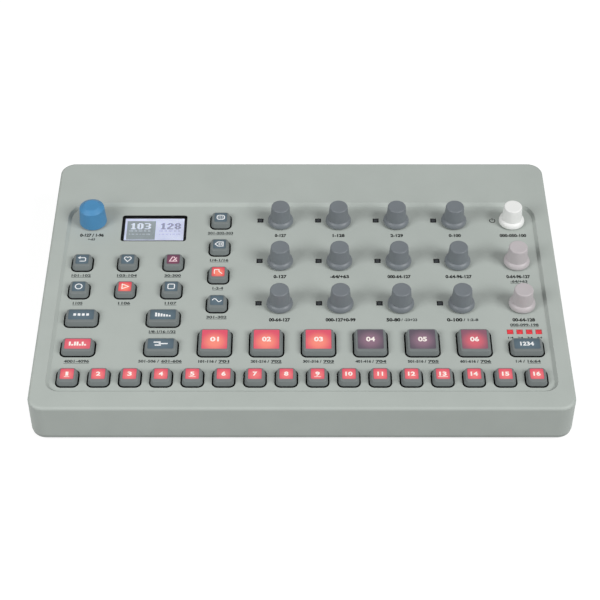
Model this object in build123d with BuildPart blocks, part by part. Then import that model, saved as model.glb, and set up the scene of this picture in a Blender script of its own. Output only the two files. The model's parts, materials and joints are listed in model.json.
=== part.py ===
from build123d import *

import os
from math import atan2, cos, hypot, radians, sin, tan

# A table-top groovebox: a wedge-shaped case with a sunken panel of keys, pads and knobs.
# Millimetres. X runs to the right, Y to the rear and Z up. The origin is under the middle of
# the case, on the surface that the feet stand on. A height on the panel is measured square to
# it from its surface, so what lies under the panel has a negative height.

# Case shells
case_width = 270.0
case_depth = 180.0
case_front_height = 22.0
case_rear_height = 28.6
case_corner_radius = 8.0
case_edge_radius = 1.5
case_wall = 2.4
base_thickness = 2.2
base_inset = 0.3
base_edge_radius = 0.8
shell_clearance = 0.2
lip_height = 3.0
lip_thickness = 1.4
rear_panel_margin = 17.0
rear_panel_height = 20.3
cut_overrun = 1.0
weld_overlap = 0.5

# Sunken panel
recess_depth = 1.6
recess_wall_angle = 45.0
recess_front_corner_radius = 7.0
recess_rear_corner_radius = 12.0
side_rim_width = 7.8
front_rim_width = 11.2
rear_ledge_width = 32.6
panel_thickness = 2.2

# Feet and the screws through them
foot_height = 2.5
foot_radius = 6.0
foot_inset = 11.0
foot_edge_radius = 0.5
foot_recess_radius = 3.0
foot_recess_depth = 1.3
foot_screw_radius = 1.4
foot_screw_head_radius = 2.6
foot_screw_head_height = 1.0
foot_screw_length = 12.0
screw_passage = 0.2
thread_clearance = 0.05
screw_tip_room = 1.0
boss_radius = 3.0

# Keys and pads
key_size = 10.3
wide_key_width = 16.6
pad_size = 16.6
key_gap = 0.8
key_corner_radius = 2.4
key_height = 3.2
pad_height = 3.3
key_shoulder_height = 0.5
key_flank_angle = 15.0
key_edge_radius = 0.4
window_border = 1.0
window_setback = 0.55
window_corner_radius = 0.8
window_depth = 1.2
flange_margin = 0.5
flange_gap = 0.3
flange_thickness = 1.0
key_travel = 1.0
key_stem_radius = 1.6
key_stem_clearance = 0.2
key_stem_engagement = 1.6
key_stem_room = 0.3
switch_size = 6.0
switch_height = 3.6

# Knobs, their shafts and the turning parts under them
knob_gap = 0.8
knob_height = 11.1
knob_radius = 6.9
knob_lip_height = 0.7
knob_lip_radius = 0.4
knob_waist_radius = 5.5
knob_waist_height = 3.0
knob_top_radius = 4.85
knob_edge_radius = 0.6
knob_crown = 3.0
knob_relief_radius = 4.4
knob_relief_depth = 1.2
knob_bore_clearance = 0.02
data_knob_height = 11.8
data_knob_radius = 7.4
data_knob_shoulder_radius = 6.65
data_knob_shoulder_height = 10.2
data_knob_top_radius = 4.1
shaft_radius = 3.0
shaft_clearance = 0.05
bushing_radius = 3.6
bushing_rise = 0.4
bushing_clearance = 0.3
pot_size = 10.0
pot_gap = 0.4
pot_floor = 1.0
encoder_floor = 0.6
plunger_radius = 2.6
plunger_thickness = 1.0
plunger_room = 0.2
data_travel = 0.5

# Indicator lights and display
light_size = 3.3
light_gap = 0.1
light_drop = 0.1
knob_light_left = 11.0
knob_light_behind = 1.4
page_light_pitch = 4.87
display_width = 35.4
display_depth = 20.2
display_corner_radius = 1.6
lens_gap = 0.1
lens_drop = 0.2
lens_thickness = 0.9
cell_thickness = 0.8
display_frame_margin = 2.0
display_frame_gap = 0.2
display_frame_thickness = 2.6
display_peg_radius = 1.2
display_peg_inset = 3.0

# Boards and what is soldered to them
board_thickness = 1.6
board_margin = 3.0
board_screw_radius = 1.0
board_screw_head_radius = 1.9
board_screw_head_height = 1.2
board_screw_grip = 3.5
pillar_radius = 2.6
processor_size = 16.0
processor_height = 1.4
memory_width = 12.0
memory_depth = 8.0
memory_height = 1.0
ribbon_width = 24.0
ribbon_thickness = 0.8
ribbon_bend_radius = 2.0
ribbon_drop = 5.0
ribbon_gap = 0.1
ribbon_lead = 6.0
io_board_margin = 4.0
io_board_depth = 27.0
io_board_post_height = 3.0
io_board_post_radius = 3.0

# Rear sockets
socket_gap = 0.1
nose_setback = 0.2
nose_clearance = 0.2
lead_in = 0.25
lead_in_depth = 0.6
jack_bore_radius = 3.25
jack_bore_length = 24.0
jack_nose_radius = 5.2
jack_width = 14.0
jack_height = 13.6
jack_length = 26.0
mini_jack_bore_radius = 1.83
mini_jack_bore_length = 11.0
mini_jack_nose_radius = 3.2
mini_jack_width = 8.0
mini_jack_height = 7.0
mini_jack_length = 13.0
usb_width = 8.0
usb_height = 3.0
usb_length = 6.0
usb_wall = 0.4
usb_mouth_depth = 4.8
usb_tongue_width = 4.2
usb_tongue_height = 0.7
usb_tongue_length = 3.6
usb_cutout_width = 11.6
usb_cutout_height = 7.4
usb_cutout_corner_radius = 1.5
inlet_width = 9.0
inlet_height = 10.8
inlet_length = 13.0
inlet_bore_radius = 2.9
inlet_bore_depth = 9.5
inlet_pin_radius = 1.0
inlet_pin_length = 8.5
inlet_passage_radius = 4.6

# Places across the panel, as shares of half its width from its middle
step_key_end_shares = (-0.9287, 0.9293)
key_column_end_shares = (-0.9269, -0.3503)
pad_column_end_shares = (-0.3518, 0.9057)
knob_column_end_shares = (-0.0912, 0.9091)
data_knob_column_share = -0.903
display_column_share = -0.6377

# Places along the panel, as shares of its length from its front edge
key_row_end_shares = (0.06, 0.6647)
knob_row_end_shares = (0.439, 0.9067)
pad_row_share = 0.2337
page_light_row_share = 0.2982
display_row_share = 0.872

# Places of the board's pillars and chips, as shares across and along the panel
pillar_shares = ((-0.733, 0.287), (-0.86, 0.765), (-0.22, 0.79), (0.535, 0.79), (0.16, 0.343), (0.59, 0.343))
processor_share = (0.35, 0.56)
memory_shares = ((0.12, 0.56), (0.12, 0.42), (-0.55, 0.5))
ribbon_column_share = -0.1

# Places of the rear sockets, as shares of half the rear panel's width from its middle
jack_shares = (-0.89, -0.64, -0.39)
mini_jack_shares = (0.115, 0.275)
usb_share = 0.5
inlet_share = 0.73
panel_split_share = 0.375
io_board_post_shares = (-0.766, -0.115, 0.618)

key_column_count = 4
key_row_count = 5
step_key_count = 16
pad_count = 6
page_light_count = 4

key_row_names = (("record_key", "play_key", "stop_key"), ("back_key", "favourite_key", "tempo_key"))
right_column_names = ("wave_key", "click_key", "quantise_key", "preset_key")
knob_row_names = (
    ("lfo_speed_knob", "distortion_knob", "swing_knob", "chance_knob", "delay_time_knob"),
    ("sweep_knob", "contour_knob", "delay_send_knob", "reverb_send_knob", "reverb_size_knob"),
    ("pitch_knob", "decay_knob", "colour_knob", "shape_knob", "main_volume_knob"),
)

# Planes of the case: its sloping rim, the panel's surface and the ceiling under it
base_top = foot_height + base_thickness
case_rise = case_rear_height - case_front_height
slope_length = hypot(case_depth, case_rise)
tilt = atan2(case_rise, case_depth)
panel_normal = (0, -sin(tilt), cos(tilt))
rim_plane = Plane((0, -case_depth / 2, foot_height + case_front_height), (1, 0, 0), panel_normal)
ceiling_plane = rim_plane.offset(-recess_depth - panel_thickness)
rear_plane = Plane.XZ.offset(-case_depth / 2)

recess_run = recess_depth * tan(radians(recess_wall_angle))
panel_width = case_width - 2 * (side_rim_width + recess_run)
panel_length = slope_length - front_rim_width - rear_ledge_width - 2 * recess_run
panel_plane = Plane(rim_plane * Pos(0, front_rim_width + recess_run, -recess_depth))
recess_plane = Plane(rim_plane * Pos(0, front_rim_width + recess_run + panel_length / 2, 0))

# Heights under the panel
flange_top = -panel_thickness - flange_gap
flange_bottom = flange_top - flange_thickness
switch_top = flange_bottom - key_travel - flange_gap
board_top = switch_top - switch_height
board_bottom = board_top - board_thickness
pot_top = -panel_thickness - pot_gap
shaft_top = knob_gap + knob_height - knob_crown
pot_bore_bottom = board_top + pot_floor
plunger_bottom = board_top + encoder_floor + plunger_room + data_travel
plunger_top = plunger_bottom + plunger_thickness
io_board_top = base_top + io_board_post_height + board_thickness


def spread(ends, count):
    """Return count values in even steps from the first end to the last."""
    first, last = ends
    return [first + (last - first) * step / (count - 1) for step in range(count)]


def on_panel(across_share, along_share):
    """Return a place on the panel, across from its middle and along from its front edge."""
    return across_share * panel_width / 2, along_share * panel_length


def plane_at(place):
    """Return the panel's plane with its origin at a place on the panel."""
    across, along = place
    return Plane(panel_plane * Pos(across, along, 0))


def group(name, pieces):
    """Return separate solids as one labelled assembly."""
    return Compound(label=name, children=pieces)


# Places of the controls
key_columns = spread(key_column_end_shares, key_column_count)
key_rows = spread(key_row_end_shares, key_row_count)
step_row, lower_row, upper_row, transport_row, option_row = key_rows
knob_rows = spread(knob_row_end_shares, len(knob_row_names))
knob_columns = spread(knob_column_end_shares, len(knob_row_names[0]))
pad_columns = spread(pad_column_end_shares, pad_count + 1)
wide_key_shift = (wide_key_width - key_size) / 2

small_keys = {}
for number, column in enumerate(spread(step_key_end_shares, step_key_count), 1):
    small_keys[f"step_key_{number:02d}"] = on_panel(column, step_row)
for row, names in zip((transport_row, option_row), key_row_names):
    for column, name in zip(key_columns, names):
        small_keys[name] = on_panel(column, row)
for row, name in zip(spread(knob_row_end_shares, len(right_column_names)), right_column_names):
    small_keys[name] = on_panel(key_columns[-1], row)

pads = {}
for number, column in enumerate(pad_columns[:-1], 1):
    pads[f"pad_{number}"] = on_panel(column, pad_row_share)

wide_keys = {"page_key": on_panel(pad_columns[-1], lower_row)}
for row, left_name, right_name in (
    (lower_row, "pattern_key", "track_key"),
    (upper_row, "function_key", "retrigger_key"),
):
    left_across, along = on_panel(key_columns[0], row)
    right_across, along = on_panel(key_columns[2], row)
    wide_keys[left_name] = (left_across + wide_key_shift, along)
    wide_keys[right_name] = (right_across - wide_key_shift, along)

knobs = {}
for row, names in zip(knob_rows, knob_row_names):
    for column, name in zip(knob_columns, names):
        knobs[name] = on_panel(column, row)
data_knob_place = on_panel(data_knob_column_share, knob_rows[-1])

# Each knob of the first four columns has a light at its left, and the page key four behind it
lights = []
for row in knob_rows:
    for column in knob_columns[:-1]:
        across, along = on_panel(column, row)
        lights.append((across - knob_light_left, along + knob_light_behind))
for step in range(page_light_count):
    across, along = on_panel(pad_columns[-1], page_light_row_share)
    lights.append((across + (step - (page_light_count - 1) / 2) * page_light_pitch, along))

display_place = on_panel(display_column_share, display_row_share)
pillars = [on_panel(*shares) for shares in pillar_shares]
board_centre = (0, panel_length / 2)

foot_across = case_width / 2 - foot_inset
foot_along = case_depth / 2 - foot_inset
foot_places = [(x, y) for x in (-foot_across, foot_across) for y in (-foot_along, foot_along)]

# Outlines of the shells and of the openings around the keys
rear_panel_width = case_width - 2 * rear_panel_margin
io_board_width = rear_panel_width - 2 * io_board_margin
inner_width = case_width - 2 * case_wall
inner_depth = case_depth - 2 * case_wall
base_width = case_width - 2 * base_inset
base_depth = case_depth - 2 * base_inset
key_hole = key_size + 2 * key_gap
wide_key_hole = wide_key_width + 2 * key_gap
pad_hole = pad_size + 2 * key_gap
key_hole_corner_radius = key_corner_radius + key_gap
flange_growth = 2 * (key_gap + flange_margin)

# Rear sockets: each one's place across the case and the height of its axis
jack_axis = io_board_top + jack_height / 2
mini_jack_axis = io_board_top + mini_jack_height / 2
usb_axis = io_board_top + usb_height / 2
inlet_axis = io_board_top + inlet_height / 2
jack_places = [(share * rear_panel_width / 2, jack_axis) for share in jack_shares]
mini_jack_places = [(share * rear_panel_width / 2, mini_jack_axis) for share in mini_jack_shares]
usb_place = (usb_share * rear_panel_width / 2, usb_axis)
inlet_place = (inlet_share * rear_panel_width / 2, inlet_axis)
panel_split = panel_split_share * rear_panel_width / 2
socket_face = case_wall + socket_gap
bore_start = nose_setback + lead_in_depth
io_board_centre = (0, case_depth / 2 - socket_face - io_board_depth / 2)
io_board_posts = [(share * rear_panel_width / 2, io_board_centre[1]) for share in io_board_post_shares]

os.makedirs("parts", exist_ok=True)

# Room inside the case, up to the ceiling under the panel
with BuildPart() as cavity:
    with BuildSketch(Plane.XY.offset(base_top)):
        RectangleRounded(inner_width, inner_depth, case_corner_radius - case_wall)
    extrude(amount=case_rear_height)
    split(bisect_by=ceiling_plane, keep=Keep.BOTTOM)

# Posts in the corners that take the screws of the feet
with BuildPart() as bosses:
    with BuildSketch(Plane.XY.offset(base_top)):
        with Locations(*foot_places):
            Circle(boss_radius)
    extrude(amount=case_rear_height)
    split(bisect_by=ceiling_plane.offset(weld_overlap), keep=Keep.BOTTOM)

# Top shell: rim, rear ledge, side walls and the sunken panel with its openings
with BuildPart() as top_case:
    with BuildSketch(Plane.XY.offset(base_top)):
        RectangleRounded(case_width, case_depth, case_corner_radius)
    extrude(amount=case_rear_height)
    split(bisect_by=rim_plane, keep=Keep.BOTTOM)
    fillet(top_case.faces().sort_by(Axis.Z)[-1].edges(), case_edge_radius)
    add(cavity.part, mode=Mode.SUBTRACT)
    with BuildSketch(recess_plane) as recess:
        Rectangle(panel_width + 2 * recess_run, panel_length + 2 * recess_run)
        fillet(recess.vertices().group_by(Axis.Y)[0], recess_front_corner_radius)
        fillet(recess.vertices().group_by(Axis.Y)[-1], recess_rear_corner_radius)
    extrude(amount=-recess_depth, taper=recess_wall_angle, mode=Mode.SUBTRACT)

    with BuildSketch(panel_plane):
        with Locations(*small_keys.values()):
            RectangleRounded(key_hole, key_hole, key_hole_corner_radius)
        with Locations(*wide_keys.values()):
            RectangleRounded(wide_key_hole, key_hole, key_hole_corner_radius)
        with Locations(*pads.values()):
            RectangleRounded(pad_hole, pad_hole, key_hole_corner_radius)
        with Locations(*knobs.values(), data_knob_place):
            Circle(bushing_radius + bushing_clearance)
        with Locations(*lights):
            Rectangle(light_size, light_size)
        with Locations(display_place):
            RectangleRounded(display_width, display_depth, display_corner_radius)
    extrude(amount=-panel_thickness - cut_overrun, mode=Mode.SUBTRACT)

    add(bosses.part)
    with BuildSketch(Plane.XY.offset(base_top)):
        with Locations(*foot_places):
            Circle(foot_screw_radius + thread_clearance)
    extrude(amount=foot_screw_length, mode=Mode.SUBTRACT)

    with BuildSketch(panel_plane.offset(board_top)):
        with Locations(*pillars):
            Circle(pillar_radius)
    extrude(amount=-panel_thickness - board_top)
    with BuildSketch(panel_plane.offset(board_top)):
        with Locations(*pillars):
            Circle(board_screw_radius + thread_clearance)
    extrude(amount=board_screw_grip + screw_tip_room, mode=Mode.SUBTRACT)

    with BuildSketch(Plane.XY.offset(base_top)):
        with Locations((0, case_depth / 2)):
            Rectangle(rear_panel_width + 2 * shell_clearance, 2 * (case_wall + cut_overrun))
    extrude(amount=rear_panel_height + shell_clearance, mode=Mode.SUBTRACT)
top_case.part.label = "top_case"
export_step(top_case.part, "parts/top_case.step")

# Base of the bottom shell: plate, locating lips and posts for the rear board
with BuildPart() as base_shell:
    with BuildSketch(Plane.XY.offset(foot_height)):
        RectangleRounded(base_width, base_depth, case_corner_radius - base_inset)
    extrude(amount=base_thickness)
    fillet(base_shell.faces().sort_by(Axis.Z)[0].edges(), base_edge_radius)

    lip_setback = case_wall + shell_clearance + lip_thickness / 2
    with BuildSketch(Plane.XY.offset(base_top)):
        with Locations((0, lip_setback - case_depth / 2)):
            Rectangle(case_width - 4 * foot_inset, lip_thickness)
        with Locations((lip_setback - case_width / 2, 0), (case_width / 2 - lip_setback, 0)):
            Rectangle(lip_thickness, case_depth - 4 * foot_inset)
    extrude(amount=lip_height)

    with BuildSketch(Plane.XY.offset(base_top)):
        with Locations(*io_board_posts):
            Circle(io_board_post_radius)
    extrude(amount=io_board_post_height)
    with BuildSketch(Plane.XY.offset(foot_height)):
        with Locations(*foot_places):
            Circle(foot_screw_radius + screw_passage)
    extrude(amount=base_thickness, mode=Mode.SUBTRACT)
base_shell.part.label = "base_shell"

# Rear plates that stand on the base plate, side by side, and close the rear of the top shell
with BuildPart() as jack_panel:
    with BuildSketch(Plane.XY.offset(base_top)):
        with Locations((panel_split, case_depth / 2)):
            Rectangle(rear_panel_width / 2 + panel_split, case_wall, align=(Align.MAX, Align.MAX))
    extrude(amount=rear_panel_height)
    with BuildSketch(rear_plane):
        with Locations(*jack_places):
            Circle(jack_nose_radius + nose_clearance)
        with Locations(*mini_jack_places):
            Circle(mini_jack_nose_radius + nose_clearance)
    extrude(amount=case_wall, mode=Mode.SUBTRACT)
jack_panel.part.label = "jack_panel"
with BuildPart() as power_panel:
    with BuildSketch(Plane.XY.offset(base_top)):
        with Locations((panel_split, case_depth / 2)):
            Rectangle(rear_panel_width / 2 - panel_split, case_wall, align=(Align.MIN, Align.MAX))
    extrude(amount=rear_panel_height)
    with BuildSketch(rear_plane):
        with Locations(usb_place):
            RectangleRounded(usb_cutout_width, usb_cutout_height, usb_cutout_corner_radius)
        with Locations(inlet_place):
            Circle(inlet_passage_radius)
    extrude(amount=case_wall, mode=Mode.SUBTRACT)
power_panel.part.label = "power_panel"
bottom_pieces = [base_shell.part, jack_panel.part, power_panel.part]
export_step(group("bottom_case", bottom_pieces), "parts/bottom_case.step")


def make_foot(x, y):
    """Return a rubber foot with a sunken hole, and the screw that holds it."""
    with BuildPart() as foot:
        with BuildSketch():
            with Locations((x, y)):
                Circle(foot_radius)
        extrude(amount=foot_height)
        fillet(foot.faces().sort_by(Axis.Z)[0].edges(), foot_edge_radius)
        with Locations((x, y, 0)):
            with Locations(Rot(180, 0, 0)):
                CounterBoreHole(
                    foot_screw_radius + screw_passage, foot_recess_radius, foot_recess_depth, foot_height
                )
    with BuildPart() as screw:
        with BuildSketch(Plane.XY.offset(foot_recess_depth)):
            with Locations((x, y)):
                Circle(foot_screw_head_radius)
        extrude(amount=-foot_screw_head_height)
        with BuildSketch(Plane.XY.offset(foot_recess_depth)):
            with Locations((x, y)):
                Circle(foot_screw_radius)
        extrude(amount=foot_screw_length)
    return [foot.part, screw.part]


screw_feet = [piece for place in foot_places for piece in make_foot(*place)]
export_step(group("screw_feet", screw_feet), "parts/screw_feet.step")


def make_key(name, place, width, depth, height):
    """Return a key: a tapered cap with a flange under the panel and a stem, and its light window."""
    surface = plane_at(place)
    upward = Axis(surface.origin, surface.z_dir)
    flank_inset = (height - key_shoulder_height) * tan(radians(key_flank_angle))
    window_width = width - 2 * (flank_inset + window_border)
    window_length = depth - 2 * (flank_inset + window_border)
    with BuildPart() as cap:
        with BuildSketch(surface.offset(flange_bottom)):
            RectangleRounded(width + flange_growth, depth + flange_growth, key_hole_corner_radius)
        extrude(amount=flange_thickness)
        with BuildSketch(surface.offset(flange_top)):
            RectangleRounded(width, depth, key_corner_radius)
        extrude(amount=key_shoulder_height - flange_top)
        with BuildSketch(surface.offset(key_shoulder_height)):
            RectangleRounded(width, depth, key_corner_radius)
        extrude(amount=height - key_shoulder_height, taper=key_flank_angle)
        fillet(cap.faces().sort_by(upward)[-1].edges(), key_edge_radius)
        with BuildSketch(surface.offset(height - window_depth)):
            with Locations((0, window_setback)):
                RectangleRounded(window_width, window_length, window_corner_radius)
        extrude(amount=window_depth, mode=Mode.SUBTRACT)
        with BuildSketch(surface.offset(switch_top - key_stem_engagement)):
            Circle(key_stem_radius)
        extrude(amount=flange_bottom - switch_top + key_stem_engagement)
    with BuildPart() as window:
        with BuildSketch(surface.offset(height - window_depth)):
            with Locations((0, window_setback)):
                RectangleRounded(window_width, window_length, window_corner_radius)
        extrude(amount=window_depth)
    cap.part.label = "cap"
    window.part.label = "window"
    return group(name, [cap.part, window.part])


for name, place in small_keys.items():
    export_step(make_key(name, place, key_size, key_size, key_height), f"parts/{name}.step")
for name, place in wide_keys.items():
    export_step(make_key(name, place, wide_key_width, key_size, key_height), f"parts/{name}.step")
for name, place in pads.items():
    export_step(make_key(name, place, pad_size, pad_size, pad_height), f"parts/{name}.step")


def upright_plane_at(place):
    """Return the plane through a knob's axis, with x across the panel and y square to it."""
    surface = plane_at(place)
    return Plane(surface.origin, surface.x_dir, -surface.y_dir)


def knob_outline():
    """Draw half of a knob's section: a rounded skirt under a slim, slightly tapered grip."""
    foot = Line((0, knob_gap), (knob_radius, knob_gap))
    lip = Line(foot @ 1, (knob_radius, knob_gap + knob_lip_height))
    skirt = TangentArc(lip @ 1, (knob_waist_radius, knob_gap + knob_waist_height), tangent=lip % 1)
    grip = Line(skirt @ 1, (knob_top_radius, knob_gap + knob_height))
    crown = Line(grip @ 1, (0, knob_gap + knob_height))
    Line(crown @ 1, foot @ 0)


def data_knob_outline():
    """Draw half of the data knob's section: a stout drum with a bevelled crown."""
    foot = Line((0, knob_gap), (data_knob_radius, knob_gap))
    drum = Line(foot @ 1, (data_knob_shoulder_radius, knob_gap + data_knob_shoulder_height))
    bevel = Line(drum @ 1, (data_knob_top_radius, knob_gap + data_knob_height))
    crown = Line(bevel @ 1, (0, knob_gap + data_knob_height))
    Line(crown @ 1, foot @ 0)


def make_knob(name, place, outline, shaft_bottom):
    """Return a knob: a turned cap with a bore, and the shaft pressed into it."""
    surface = plane_at(place)
    upward = Axis(surface.origin, surface.z_dir)
    with BuildPart() as cap:
        with BuildSketch(upright_plane_at(place)):
            with BuildLine():
                outline()
            make_face()
        revolve(axis=upward)
        rims = cap.edges().filter_by(GeomType.CIRCLE).sort_by(upward)
        fillet(rims[-1], knob_edge_radius)
        fillet(rims[0], knob_lip_radius)
        with BuildSketch(surface.offset(knob_gap)):
            Circle(knob_relief_radius)
        extrude(amount=knob_relief_depth, mode=Mode.SUBTRACT)
        with BuildSketch(surface.offset(knob_gap)):
            Circle(shaft_radius + knob_bore_clearance)
        extrude(amount=shaft_top - knob_gap, mode=Mode.SUBTRACT)
    with BuildPart() as shaft:
        with BuildSketch(surface.offset(shaft_bottom)):
            Circle(shaft_radius)
        extrude(amount=shaft_top - shaft_bottom)
    cap.part.label = "cap"
    shaft.part.label = "shaft"
    return group(name, [cap.part, shaft.part])


for name, place in knobs.items():
    export_step(make_knob(name, place, knob_outline, pot_bore_bottom), f"parts/{name}.step")
data_knob = make_knob("data_knob", data_knob_place, data_knob_outline, plunger_top)
export_step(data_knob, "parts/data_knob.step")

# Push contact under the data knob's shaft
with BuildPart() as data_plunger:
    with BuildSketch(plane_at(data_knob_place).offset(plunger_bottom)):
        Circle(plunger_radius)
    extrude(amount=plunger_thickness)
data_plunger.part.label = "data_plunger"
export_step(data_plunger.part, "parts/data_plunger.step")

# Display: lens in the panel's opening, liquid crystal cell, and a frame on pegs behind them
display_surface = plane_at(display_place)
lens_bottom = -lens_drop - lens_thickness
cell_bottom = lens_bottom - cell_thickness
frame_top = -panel_thickness - display_frame_gap
frame_bottom = frame_top - display_frame_thickness
lens_width = display_width - 2 * lens_gap
lens_depth = display_depth - 2 * lens_gap
lens_corner_radius = display_corner_radius - lens_gap
peg_span_across = display_width - 2 * display_peg_inset
peg_span_along = display_depth - 2 * display_peg_inset
with BuildPart() as lens:
    with BuildSketch(display_surface.offset(lens_bottom)):
        RectangleRounded(lens_width, lens_depth, lens_corner_radius)
    extrude(amount=lens_thickness)
lens.part.label = "lens"
with BuildPart() as cell:
    with BuildSketch(display_surface.offset(cell_bottom)):
        RectangleRounded(lens_width, lens_depth, lens_corner_radius)
    extrude(amount=cell_thickness)
cell.part.label = "cell"
with BuildPart() as display_frame:
    with BuildSketch(display_surface.offset(frame_top)):
        RectangleRounded(lens_width, lens_depth, lens_corner_radius)
    extrude(amount=cell_bottom - frame_top)
    with BuildSketch(display_surface.offset(frame_bottom)):
        Rectangle(display_width + 2 * display_frame_margin, display_depth + 2 * display_frame_margin)
    extrude(amount=display_frame_thickness)
    with BuildSketch(display_surface.offset(board_top)):
        with GridLocations(peg_span_across, peg_span_along, 2, 2):
            Circle(display_peg_radius)
    extrude(amount=frame_bottom - board_top)
display_frame.part.label = "frame"
display_pieces = [lens.part, cell.part, display_frame.part]
export_step(group("display_module", display_pieces), "parts/display_module.step")

# Main board, hung from the panel's pillars
with BuildPart() as main_board:
    with BuildSketch(panel_plane.offset(board_bottom)):
        with Locations(board_centre):
            Rectangle(panel_width - 2 * board_margin, panel_length - 2 * board_margin)
        with Locations(*pillars):
            Circle(board_screw_radius + screw_passage, mode=Mode.SUBTRACT)
    extrude(amount=board_thickness)
main_board.part.label = "main_board"

# Board behind it that carries the sockets, on posts of the bottom shell
with BuildPart() as io_board:
    with BuildSketch(Plane.XY.offset(io_board_top)):
        with Locations(io_board_centre):
            Rectangle(io_board_width, io_board_depth)
    extrude(amount=-board_thickness)
io_board.part.label = "io_board"

# Flat ribbon from the main board's underside down to the rear board
ribbon_across, ribbon_start_along = on_panel(ribbon_column_share, 1)
ribbon_start = plane_at((ribbon_across, ribbon_start_along - board_margin - ribbon_lead)).offset(
    board_bottom - ribbon_gap
)
ribbon_end_y = io_board_centre[1] - io_board_depth / 2 + ribbon_lead
with BuildPart() as ribbon:
    with BuildSketch(Plane.YZ.offset(ribbon_across)):
        with BuildLine():
            FilletPolyline(
                (ribbon_start.origin.Y, ribbon_start.origin.Z),
                (ribbon_start.origin.Y, ribbon_start.origin.Z - ribbon_drop),
                (ribbon_end_y, ribbon_start.origin.Z - ribbon_drop),
                (ribbon_end_y, io_board_top),
                radius=ribbon_bend_radius,
            )
        trace(line_width=ribbon_thickness)
    extrude(amount=ribbon_width / 2, both=True)
ribbon.part.label = "ribbon"


def make_switch(place):
    """Return a push switch on the main board, open at the top for a key's stem."""
    surface = plane_at(place)
    with BuildPart() as switch:
        with BuildSketch(surface.offset(board_top)):
            Rectangle(switch_size, switch_size)
        extrude(amount=switch_height)
        with BuildSketch(surface.offset(switch_top)):
            Circle(key_stem_radius + key_stem_clearance)
        extrude(amount=-key_stem_engagement - key_travel - key_stem_room, mode=Mode.SUBTRACT)
    switch.part.label = "switch"
    return switch.part


def make_pot(place, bore_bottom):
    """Return a turning part on the main board, with a bushing that guides a knob's shaft."""
    surface = plane_at(place)
    with BuildPart() as pot:
        with BuildSketch(surface.offset(board_top)):
            Rectangle(pot_size, pot_size)
        extrude(amount=pot_top - board_top)
        with BuildSketch(surface.offset(pot_top)):
            Circle(bushing_radius)
        extrude(amount=bushing_rise - pot_top)
        with BuildSketch(surface.offset(bore_bottom)):
            Circle(shaft_radius + shaft_clearance)
        extrude(amount=bushing_rise - bore_bottom, mode=Mode.SUBTRACT)
    pot.part.label = "pot"
    return pot.part


def make_light(place):
    """Return an indicator light that stands on the board and fills its opening in the panel."""
    with BuildPart() as light:
        with BuildSketch(plane_at(place).offset(board_top)):
            Rectangle(light_size - 2 * light_gap, light_size - 2 * light_gap)
        extrude(amount=-light_drop - board_top)
    light.part.label = "light"
    return light.part


def make_board_screw(place):
    """Return a screw that holds the main board to one of the panel's pillars."""
    surface = plane_at(place)
    with BuildPart() as screw:
        with BuildSketch(surface.offset(board_bottom)):
            Circle(board_screw_head_radius)
        extrude(amount=-board_screw_head_height)
        with BuildSketch(surface.offset(board_bottom)):
            Circle(board_screw_radius)
        extrude(amount=board_thickness + board_screw_grip)
    screw.part.label = "screw"
    return screw.part


def make_chip(place, width, depth, height):
    """Return a chip on the underside of the main board."""
    with BuildPart() as chip:
        with BuildSketch(plane_at(place).offset(board_bottom)):
            Rectangle(width, depth)
        extrude(amount=-height)
    chip.part.label = "chip"
    return chip.part


board_pieces = [main_board.part, io_board.part, ribbon.part]
for place in (*small_keys.values(), *wide_keys.values(), *pads.values()):
    board_pieces.append(make_switch(place))
for place in knobs.values():
    board_pieces.append(make_pot(place, pot_bore_bottom))
board_pieces.append(make_pot(data_knob_place, board_top + encoder_floor))
board_pieces += [make_light(place) for place in lights]
board_pieces += [make_board_screw(place) for place in pillars]
board_pieces.append(make_chip(on_panel(*processor_share), processor_size, processor_size, processor_height))
for shares in memory_shares:
    board_pieces.append(make_chip(on_panel(*shares), memory_width, memory_depth, memory_height))
export_step(group("circuit_board", board_pieces), "parts/circuit_board.step")


def make_jack(place, bore_radius, bore_length, nose_radius, width, height, length):
    """Return a jack socket: a body on the rear board, with a nose through the rear panel."""
    with BuildPart() as jack:
        with BuildSketch(rear_plane.offset(nose_setback)):
            with Locations(place):
                Circle(nose_radius)
        extrude(amount=socket_face - nose_setback)
        with BuildSketch(rear_plane.offset(socket_face)):
            with Locations(place):
                Rectangle(width, height)
        extrude(amount=length)
        with BuildSketch(rear_plane):
            with Locations(place):
                Circle(bore_radius + lead_in)
        extrude(amount=bore_start, mode=Mode.SUBTRACT)
        with BuildSketch(rear_plane.offset(bore_start)):
            with Locations(place):
                Circle(bore_radius)
        extrude(amount=bore_length, mode=Mode.SUBTRACT)
    jack.part.label = "jack"
    return jack.part


# Data port: a thin metal shell with a contact tongue
with BuildPart() as usb_port:
    with BuildSketch(rear_plane.offset(socket_face)):
        with Locations(usb_place):
            Rectangle(usb_width, usb_height)
    extrude(amount=usb_length)
    with BuildSketch(rear_plane.offset(socket_face)):
        with Locations(usb_place):
            Rectangle(usb_width - 2 * usb_wall, usb_height - 2 * usb_wall)
    extrude(amount=usb_mouth_depth, mode=Mode.SUBTRACT)
    with BuildSketch(rear_plane.offset(socket_face + usb_mouth_depth)):
        with Locations(usb_place):
            Rectangle(usb_tongue_width, usb_tongue_height)
    extrude(amount=-usb_tongue_length)
usb_port.part.label = "usb_port"

# Power inlet: a round well with a centre pin
with BuildPart() as power_inlet:
    with BuildSketch(rear_plane.offset(socket_face)):
        with Locations(inlet_place):
            Rectangle(inlet_width, inlet_height)
    extrude(amount=inlet_length)
    with BuildSketch(rear_plane.offset(socket_face)):
        with Locations(inlet_place):
            Circle(inlet_bore_radius)
    extrude(amount=inlet_bore_depth, mode=Mode.SUBTRACT)
    with BuildSketch(rear_plane.offset(socket_face + inlet_bore_depth)):
        with Locations(inlet_place):
            Circle(inlet_pin_radius)
    extrude(amount=-inlet_pin_length)
power_inlet.part.label = "power_inlet"

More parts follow.
